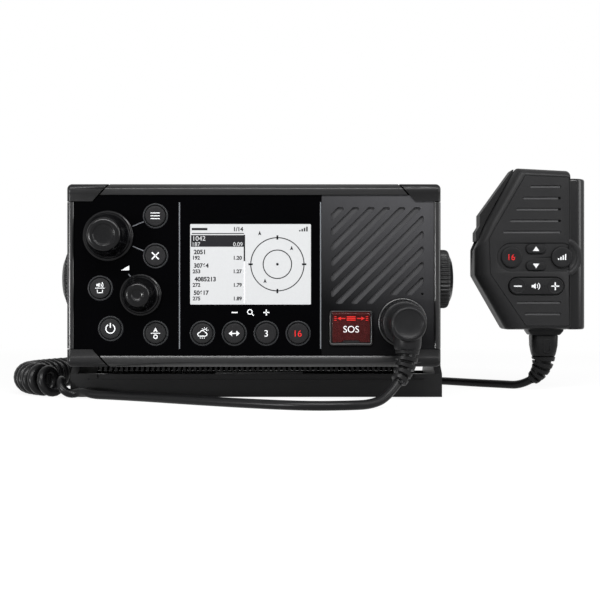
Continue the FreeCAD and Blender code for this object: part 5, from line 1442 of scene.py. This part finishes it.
    def build(self) -> None:
        """Makes the shells, the keys with their marks, the talk key, the rail and the boot."""
        self.front_shell()
        self.back_shell()
        self.keys()
        self.talk_key()
        self.rail()
        self.boot()

    def keys(self) -> None:
        """Two round keys with a shallow dish, two channel keys and the rocker."""
        base = 4.5
        for name, centre, face in (("handset_key_16", self.key_16, 0.2),
                                   ("handset_key_power_level", self.key_power, -0.5)):
            top = base - face
            profile = [(6.6, 0.0), (6.6, 1.0), (6.3, 1.0), (6.3, top - 0.7), (6.2, top - 0.3),
                       (5.9, top - 0.08), (5.4, top), (3.5, top - 0.12), (1.5, top - 0.2)]
            Piece(name + "_shown").turned(profile, (centre[0], base, centre[1]), segments=64).make(
                Finish.KEY, name, "key_rubber", (name,))
        Print("handset_16_mark", 0.36).word("16", self.key_16, 3.6).build(
            Finish.RED_MARK, "handset_key_16", "key_rubber")
        x, z = self.key_power
        bars = Print("handset_power_mark", -0.34)
        for k in range(4):
            bars.stroke((x - 2.1 + k * 1.4, z - 1.7), (x - 2.1 + k * 1.4, z - 0.7 + k * 0.85), 0.75)
        bars.build(Finish.MARK, "handset_key_power_level", "key_rubber")
        x = (self.channel_x[0] + self.channel_x[1]) / 2
        for name, span, lean in (("handset_key_up", self.channel_z[0], 1),
                                 ("handset_key_down", self.channel_z[1], -1)):
            loop = self.pill(self.channel_x, span)
            Piece(name + "_shown").plate(loop, (0.3, 4.7), 0.6).make(Finish.KEY, name, "key_rubber", (name,))
            z = (span[0] + span[1]) / 2
            mark = Print(name + "_mark", 0.31)
            mark.area([(x - 1.9, z - 1.3 * lean), (x, z + 1.5 * lean), (x + 1.9, z - 1.3 * lean)])
            mark.build(Finish.MARK, name, "key_rubber")
        self.rocker()

    def rocker(self) -> None:
        """The rocker with a round pad near each end, a minus, a plus and a small loudspeaker symbol."""
        loop = self.pill(self.rocker_x, self.rocker_z)
        Piece("handset_rocker").plate(loop, (0.2, 3.6), 0.8).make(
            Finish.KEY, "handset_volume_rocker", "key_rubber", ("handset_volume_rocker",))
        z = (self.rocker_z[0] + self.rocker_z[1]) / 2
        left, right = self.rocker_x[0] + 5.3, self.rocker_x[1] - 5.3
        pads = Piece("handset_rocker_pads")
        for x in (left, right):
            profile = [(4.75, 0.0), (4.6, 0.14), (4.3, 0.16), (4.1, 0.06), (3.6, 0.03)]
            pads.turned(profile, (x, 0.22, z), segments=48)
        pads.make(Finish.KEY, "handset_volume_rocker", "key_rubber")
        mark = Print("handset_rocker_marks", 0.18)
        for x in (left, right):
            mark.stroke((x - 2.4, z), (x + 2.4, z), 0.75)
        mark.stroke((right, z - 2.4), (right, z + 2.4), 0.75)
        middle = (self.rocker_x[0] + self.rocker_x[1]) / 2
        mark.area([(middle - 3.0, z - 0.7), (middle - 1.9, z - 0.7), (middle - 0.5, z - 1.8),
                   (middle - 0.5, z + 1.8), (middle - 1.9, z + 0.7), (middle - 3.0, z + 0.7)])
        mark.arc((middle - 0.6, z), 1.3, 0.5, (-50, 50), 14).arc((middle - 0.6, z), 2.5, 0.5, (-50, 50), 18)
        mark.build(Finish.MARK, "handset_volume_rocker", "key_rubber")

    def talk_key(self) -> None:
        """The talk key: its outline, divided into short steps and swept through its depth."""
        outline = [(155.6, 136.0), (135.7, 108.4), (135.7, 101.5), (133.4, 97.8), (133.4, 92.4),
                   (133.95, 92.2), (139.08, 104.14), (156.6, 136.0)]
        shape = np.array(outline[::-1])
        dense = []
        for a, b in zip(shape, np.roll(shape, -1, 0)):
            count = max(2, int(np.linalg.norm(b - a) / 0.5))
            dense.append(a + (b - a) * np.linspace(0, 1, count, endpoint=False)[:, None])
        loop = np.concatenate(dense)
        rings = [at_depth(loop, y) for y in np.linspace(9.5, 24.5, 31)]
        Piece("talk_key_shown").loft(rings).make(
            Finish.TALK, "talk_key", "handset_black", ("talk_key",), 30.0)

    def rail(self) -> None:
        """The half-round rail down the right side with rounded ends, and the bulge round the right key."""
        piece = Piece("handset_rail_shown")
        x0, x1, y0, y1, radius = 189.6, 199.8, 3.0, 31.0, 7.0
        turn = np.linspace(0, np.pi / 2, 10)
        rings = []
        for z, inset in ((38.0, 1.2), (38.25, 0.5), (38.9, 0.08), (39.8, 0.0), (128.2, 0.0), (129.1, 0.08),
                         (129.75, 0.5), (130.0, 1.2)):
            x = x1 - inset - radius
            front = on_arc((x, y0 + inset + radius), radius, turn - np.pi / 2)
            rear = on_arc((x, y1 - inset - radius), radius, turn)
            section = np.concatenate([[[x0, y0 + inset]], front, rear, [[x0, y1 - inset]]])
            rings.append(at_height(section, z))
        piece.loft(rings).make(Finish.HANDSET_EDGE, Body.BRACKET, "handset_black", ("handset_rail",), 35.0)
        self.bulge()

    def bulge(self) -> None:
        """The half ring that carries the dish's rim over the rail.

        Each of its points lies at a profile radius about the right key. Past 58 degrees from the right
        it sinks below the face, by 3 mm times a smooth step.
        """
        turn = np.radians(np.linspace(-105, 105, 85))
        sunk = 3.0 * smooth_step((np.degrees(np.abs(turn)) - 58.0) / 30.0)
        profile = [(12.6, 14.0), (12.6, 1.6), (12.45, 0.9), (12.1, 0.45), (11.5, 0.22), (10.6, 0.25),
                   (9.8, 0.55), (9.2, 1.1), (8.7, 1.65), (6.5, 1.75), (6.5, 4.0)]
        rings = [at_depth(on_arc(self.key_power, radius, turn), y + sunk) for radius, y in profile]
        Piece("handset_bulge").loft(rings, capped=False, closed=False).make(
            Finish.HANDSET, Body.BRACKET, "handset_black", (), 50.0)

    def boot(self) -> None:
        """The collar, the moulded block with its oval recess, and the ribbed taper."""
        piece = Piece("handset_boot_shown")
        sections = [(38.0, (165.4, 187.4), (7.6, 26.4), 3.0), (36.8, (165.6, 187.2), (7.8, 26.2), 3.0),
                    (34.9, (166.9, 185.7), (8.4, 25.6), 3.0), (34.45, (167.4, 185.2), (8.8, 25.2), 3.0),
                    (34.35, (168.6, 183.8), (9.6, 24.4), 3.4), (34.2, (168.2, 184.2), (9.2, 24.8), 3.6),
                    (33.6, (168.0, 184.4), (9.0, 25.0), 4.0), (28.0, (168.1, 184.3), (9.1, 24.9), 4.6),
                    (24.0, (168.6, 183.8), (9.6, 24.4), 5.6), (21.8, (169.0, 183.4), (10.0, 24.0), 6.4),
                    (20.9, (169.6, 182.8), (10.6, 23.4), 6.2), (20.7, (170.6, 181.8), (11.6, 22.4), 5.2)]
        rings = []
        for z, x, y, radius in sections:
            rings.append(at_height(rounded_loop(rectangle(x, y), radius, 8), z))
        piece.loft(rings)
        boot = RibbedBoot((176.2, 17.0, 20.9), heading=(-0.8, 0.6, 0.0), bend=16.6,
                          turn=math.radians(60.0), core=(6.3, 2.9), rib=1.15)
        piece.loft(list(boot.grid()))
        piece.make(Finish.BOOT, Body.BRACKET, "boot_rubber", ("handset_boot",), 50.0)
        oval = Piece("handset_boot_pad")
        loop = rounded_loop(rectangle((174.6, 179.4), (23.6, 32.0)), 1.6, 8)
        ring_in = shrunk(loop, 0.75)
        oval.loft([at_depth(loop, 9.2), at_depth(loop, 8.95), at_depth(shrunk(loop, 0.3), 8.85),
                   at_depth(ring_in, 8.95), at_depth(ring_in, 9.2)], capped=False)
        oval.make(Finish.BOOT, Body.BRACKET, "boot_rubber")


# The side knobs

@dataclass
class ClampKnob:
    """A side knob: a ribbed rim and a low dome."""

    side: int
    pivot_z: float = 68.7
    ribs: int = 44
    groove_depth: float = 0.75

    def build(self) -> None:
        """The rim's radius dips between the ribs and the edge rolls into the dome, all about X."""
        turn = np.arange(self.ribs * 8) * 2 * np.pi / (self.ribs * 8)
        groove = 0.5 - 0.5 * np.cos(turn * self.ribs)
        steps = [(107.6, 16.0, 0.0), (107.6, 17.1, 0.5), (107.9, 17.5, 1.0), (108.6, 17.7, 1.0),
                 (112.6, 17.7, 1.0), (113.6, 17.45, 1.0), (114.3, 16.95, 0.8), (114.7, 16.3, 0.4),
                 (114.9, 15.6, 0.0), (115.15, 14.5, 0.0), (116.0, 13.0, 0.0), (116.7, 11.2, 0.0),
                 (117.15, 8.8, 0.0), (117.4, 6.0, 0.0), (117.4, 2.0, 0.0)]
        pivot = (0.0, self.pivot_z)
        rings = []
        for x, radius, share in steps:
            reach = radius - groove * share * self.groove_depth
            rings.append(at_side(on_arc(pivot, reach, turn), self.side * x))
        name = "clamp_knob_right" if self.side > 0 else "clamp_knob_left"
        piece = Piece(name + "_shown").loft(rings)
        shank = [at_side(circle(pivot, radius, 32), self.side * x)
                 for x, radius in ((87.0, 3.0), (102.7, 3.0), (102.7, 5.0), (107.7, 5.0))]
        piece.loft(shank).make(Finish.CLAMP, name, "knob_black", (name,), 45.0)


# The cord

WIRE_RADIUS = 2.5
PLUG_EXIT = (75.76, -104.31, 12.68)
PLUG_EXIT_WAY = (70.39, -108.34, 5.96)
HANDSET_EXIT = (169.64, 21.92, 6.50)
HANDSET_EXIT_WAY = (164.10, 26.08, 2.50)
FRONT_ROUTE = [(62.0, -113.5, 2.5), (49.0, -120.0, 2.5), (29.0, -122.5, 2.5), (0.0, -108.5, 2.5),
               (-34.0, -86.5, 2.5), (-68.0, -61.5, 2.5)]
CURLY_ROUTE = [(-104.0, -42.0, 2.5), (-128.0, -26.0, 2.5), (-141.0, 0.0, 2.5), (-134.0, 32.0, 2.5),
               (-117.0, 68.0, 2.5), (-88.0, 95.0, 2.5), (-48.0, 102.5, 2.5), (-8.0, 102.0, 2.5),
               (26.0, 99.0, 2.5)]
REAR_ROUTE = [(60.0, 94.5, 2.5), (91.0, 86.0, 2.5), (118.5, 68.5, 2.5), (138.5, 48.0, 2.5),
              (153.5, 36.5, 2.5)]


@dataclass
class CurlyCord:
    """The handset's cord: plain at both ends, curled between two marks of its route."""

    curls: float = 40.0
    curl_radius: float = 7.0
    taper: float = 3.0
    end_pitch: float = 24.0
    steps_per_curl: int = 20
    sides: int = 16
    length_m: float = 2.04
    lift_way: tuple[float, float, float] = (0.4, -0.6, 0.69)
    lift_reach: float = 39.0
    end_pieces: list[bpy.types.Object] = field(default_factory=list)

    def route(self) -> np.ndarray:
        """The route's spline as points, in millimetres.

        Returns:
            Points of the smooth line that the given points steer.
        """
        data = bpy.data.curves.new("cord_route", "CURVE")
        data.dimensions = "3D"
        spline = data.splines.new("NURBS")
        poles = [PLUG_EXIT, PLUG_EXIT_WAY, *FRONT_ROUTE, *CURLY_ROUTE, *REAR_ROUTE,
                 HANDSET_EXIT_WAY, HANDSET_EXIT]
        spline.points.add(len(poles) - 1)
        for point, pole in zip(spline.points, poles):
            point.co = (*(value * MM for value in pole), 1.0)
        spline.order_u = 3
        spline.use_endpoint_u = True
        spline.resolution_u = 24
        holder = bpy.data.objects.new("cord_route", data)
        mesh = bpy.data.meshes.new_from_object(holder)
        flat = np.empty(len(mesh.vertices) * 3)
        mesh.vertices.foreach_get("co", flat)
        bpy.data.objects.remove(holder)
        bpy.data.curves.remove(data)
        bpy.data.meshes.remove(mesh)
        return flat.reshape(-1, 3) / MM

    def travelled(self, turn: np.ndarray, pitch: float) -> np.ndarray:
        """How far along the route each turn lies: the pitch, and more of it near both ends."""
        def rise(share: np.ndarray | float) -> np.ndarray:
            """s - s^3 + s^4 / 2 between 0 and 1."""
            share = np.clip(share, 0.0, 1.0)
            return share - (share ** 3 - share ** 4 / 2)
        ends = rise(turn / self.taper) + rise(1.0) - rise((self.curls - turn) / self.taper)
        return pitch * turn + (self.end_pitch - pitch) * self.taper * ends

    def line(self) -> tuple[np.ndarray, np.ndarray]:
        """The cord's own line and the way that its section's first point faces.

        In the curly part each point is the route's point at the distance that its turn has travelled, plus
        radius * (side * sin(turn) + up * (1 - cos(turn))); the radius fades in and out over a few turns.

        Returns:
            Two arrays of (n, 3): the line and the facing.
        """
        route = self.route()
        steps = np.linalg.norm(np.diff(route, axis=0), axis=1)
        along = np.concatenate([[0.0], np.cumsum(steps)])
        marks = []
        for before, after in ((FRONT_ROUTE[-1], CURLY_ROUTE[0]), (CURLY_ROUTE[-1], REAR_ROUTE[0])):
            mark = (np.array(before) + np.array(after)) / 2
            marks.append(along[np.argmin(np.linalg.norm(route - mark, axis=1))])
        reach = marks[1] - marks[0]
        pitch = (reach - self.end_pitch * self.taper) / (self.curls - self.taper)
        turn = np.linspace(0.0, self.curls, int(self.curls * self.steps_per_curl) + 1)
        place = marks[0] + np.clip(self.travelled(turn, pitch), 0.0, reach)
        centre = np.stack([np.interp(place, along, route[:, i]) for i in range(3)], -1)
        ahead = np.gradient(centre, axis=0)
        side = np.stack([-ahead[:, 1], ahead[:, 0], np.zeros(len(turn))], -1)
        side /= np.linalg.norm(side, axis=1, keepdims=True)
        fade = 2.0 - smooth_step(turn / self.taper) - smooth_step((self.curls - turn) / self.taper)
        radius = (self.curl_radius * (1.0 - fade))[:, None]
        angle = (2 * np.pi * turn)[:, None]
        up = np.array([0.0, 0.0, 1.0])
        curls = centre + radius * (side * np.sin(angle) + up * (1 - np.cos(angle)))
        facing = side * np.sin(angle) - up * np.cos(angle)
        before, after = route[along < marks[0] - 0.5], route[along > marks[1] + 0.5]
        down = -np.tile(up, (len(route), 1))
        line = np.concatenate([before, curls, after])
        faces = np.concatenate([down[:len(before)], facing, down[:len(after)]])
        kept = np.concatenate([[True], np.linalg.norm(np.diff(line, axis=0), axis=1) > 0.2])
        return line[kept], faces[kept]

    def build(self) -> bpy.types.Object:
        """Each ring's axes are the facing, squared to the line's tangent, and the cross product of both.

        Returns:
            The cord.
        """
        line, facing = self.line()
        tangent = np.gradient(line, axis=0)
        tangent /= np.linalg.norm(tangent, axis=1, keepdims=True)
        first = facing - tangent * (facing * tangent).sum(1, keepdims=True)
        first /= np.linalg.norm(first, axis=1, keepdims=True)
        second = np.cross(tangent, first)
        angle = np.arange(self.sides) * 2 * np.pi / self.sides
        rings = line[:, None, :] + WIRE_RADIUS * (first[:, None, :] * np.cos(angle)[None, :, None]
                                                  + second[:, None, :] * np.sin(angle)[None, :, None])
        piece = Piece("curly_cord").loft(list(rings))
        cord = piece.make(Finish.CORD, None, "cord_black", ("cord_front", "cord_coil", "cord_rear"))
        end = np.array(PLUG_EXIT)
        start = end - np.array(self.lift_way) * self.lift_reach
        tuple(start * MM)
        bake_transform(cord)
        return cord


def smooth_step(share: np.ndarray) -> np.ndarray:
    """3 s^2 - 2 s^3 between 0 and 1."""
    share = np.clip(share, 0.0, 1.0)
    return share * share * (3.0 - 2.0 * share)


# Studio

@dataclass
class Studio:
    """Floor, soft lamps and the camera at the photograph's place."""

    camera_place: tuple[float, float, float] = (25.3, -731.0, 56.0)
    width_at_front: float = 328.4
    front_distance: float = 660.0
    sensor: float = 36.0

    def floor(self) -> None:
        """A pale floor that the camera and reflections see as white, with the object's shadow on it."""
        size = 6000.0
        mesh = bpy.data.meshes.new("studio_floor")
        edge = np.array([(-size, -size, 0), (size, -size, 0), (size, size, 0), (-size, size, 0)]) * MM
        mesh.from_pydata(edge.tolist(), [], [(0, 1, 2, 3)])
        floor = bpy.data.objects.new("studio_floor", mesh)
        bpy.context.scene.collection.objects.link(floor)
        s = Shader("floor_white")
        plain = s.add("ShaderNodeBsdfDiffuse", {"Color": (0.78, 0.78, 0.78, 1.0)})
        white = s.add("ShaderNodeEmission", {"Color": (1.0, 1.0, 1.0, 1.0), "Strength": 1.0})
        away = s.add("ShaderNodeVectorMath", {0: s.object_point()}, output="Value", operation="LENGTH")
        share = ((away - 0.28) * 2.2).at_least(0.0).at_most(1.0) * 0.10 + 0.90
        seen = s.add("ShaderNodeLightPath", output="Is Camera Ray")
        for ray in ("Is Glossy Ray", "Is Transmission Ray"):
            seen = seen + s.add("ShaderNodeLightPath", output=ray)
        shown = s.add("ShaderNodeMixShader", {0: seen.at_most(1.0) * share, 1: plain, 2: white})
        mesh.materials.append(s.finish(shown))

    def world(self) -> None:
        """A world that is white to the camera and a plain grey light otherwise."""
        world = bpy.data.worlds.new("studio")
        bpy.context.scene.world = world
        world.use_nodes = True
        tree = world.node_tree
        tree.nodes.clear()
        output = tree.nodes.new("ShaderNodeOutputWorld")
        mix = tree.nodes.new("ShaderNodeMixShader")
        light = tree.nodes.new("ShaderNodeBackground")
        white = tree.nodes.new("ShaderNodeBackground")
        path = tree.nodes.new("ShaderNodeLightPath")
        light.inputs["Color"].default_value = (1.0, 1.0, 1.0, 1.0)
        light.inputs["Strength"].default_value = 0.35
        white.inputs["Color"].default_value = (1.0, 1.0, 1.0, 1.0)
        seen = path.outputs["Is Camera Ray"]
        for ray in ("Is Glossy Ray", "Is Transmission Ray"):
            both = tree.nodes.new("ShaderNodeMath")
            both.operation = "MAXIMUM"
            tree.links.new(seen, both.inputs[0])
            tree.links.new(path.outputs[ray], both.inputs[1])
            seen = both.outputs[0]
        tree.links.new(seen, mix.inputs[0])
        tree.links.new(light.outputs[0], mix.inputs[1])
        tree.links.new(white.outputs[0], mix.inputs[2])
        tree.links.new(mix.outputs[0], output.inputs["Surface"])

    def lamp(self, name: str, place: tuple, aim: tuple, size: tuple[float, float], watts: float) -> None:
        """A soft rectangular lamp.

        Args:
            name: the lamp's name.
            place: where it stands, in millimetres.
            aim: what it points at, in millimetres.
            size: its width and height in millimetres.
            watts: its power.
        """
        data = bpy.data.lights.new(name, "AREA")
        data.shape = "RECTANGLE"
        data.size, data.size_y = size[0] * MM, size[1] * MM
        data.energy = watts
        lamp = bpy.data.objects.new(name, data)
        bpy.context.scene.collection.objects.link(lamp)
        here, there = Vector(place) * MM, Vector(aim) * MM
        turn = (there - here).to_track_quat("-Z", "Y")
        lamp.matrix_world = Matrix.Translation(here) @ turn.to_matrix().to_4x4()

    def camera(self) -> None:
        """The camera looks level along +Y from in front of the radio."""
        data = bpy.data.cameras.new("camera")
        data.sensor_width = self.sensor
        data.lens = self.sensor * self.front_distance / self.width_at_front
        camera = bpy.data.objects.new("camera", data)
        bpy.context.scene.collection.objects.link(camera)
        camera.location = Vector(self.camera_place) * MM
        camera.rotation_euler = (math.pi / 2, 0.0, 0.0)
        bpy.context.scene.camera = camera

    def build(self) -> None:
        """Sets up the whole studio."""
        self.floor()
        self.world()
        self.lamp("lamp_above", (20, -640, 560), (20, -40, 70), (1000, 150), 15.0)
        self.lamp("lamp_left", (-560, -600, 50), (-40, -60, 70), (160, 80), 5.0)
        self.lamp("lamp_right", (850, -300, 350), (60, 0, 60), (250, 600), 6.0)
        self.camera()
        bpy.context.scene.view_settings.view_transform = "Standard"


PLAIN = {
    Finish.KEY: ["key_membrane"],
    Finish.BOOT: ["case_gasket"],
    Finish.PLUG: ["distress_cover_pin"],
    Finish.CASE: ["rear_chassis"],
    Finish.STEEL: ["main_shaft", "volume_shaft", "case_screws", "handset_screws",
                   "handset_hang_stud", "rf_shield", "encoders"],
    Finish.NICKEL: ["antenna_socket"],
    Finish.BRASS: ["pivot_inserts"],
    Finish.BOARD: ["front_board", "main_board", "handset_board"],
    Finish.INSIDE: ["speaker_driver", "network_socket", "power_inlet", "handset_speaker",
                    "handset_microphone"],
}


def main() -> None:
    """Builds the radio, its cord and the studio."""
    logging.basicConfig(level=logging.INFO, format="%(name)s %(message)s")
    Studio().build()
    FrontFrame().build()
    Fascia().build()
    Screen().build()
    Knobs().build()
    SpeakerPanel().build()
    DistressKey().build()
    Handset().build()
    for side in (-1, 1):
        ClampKnob(side).build()
    for finish, entries in PLAIN.items():
        for node in entries:
            dress(node, finish)
    dress("bracket", Finish.BRACKET, 0.5)
    web = rounded_loop(rectangle((-88.9, 88.9), (15.5, 23.5)), 0.3, 2)
    Piece("fin_web").plate(web, (-36.0, -33.0)).make(Finish.INSIDE, Body.RADIO, "cast_black")
    CurlyCord(end_pieces=Plug().build()).build()


if __name__ == "__main__":
    main()
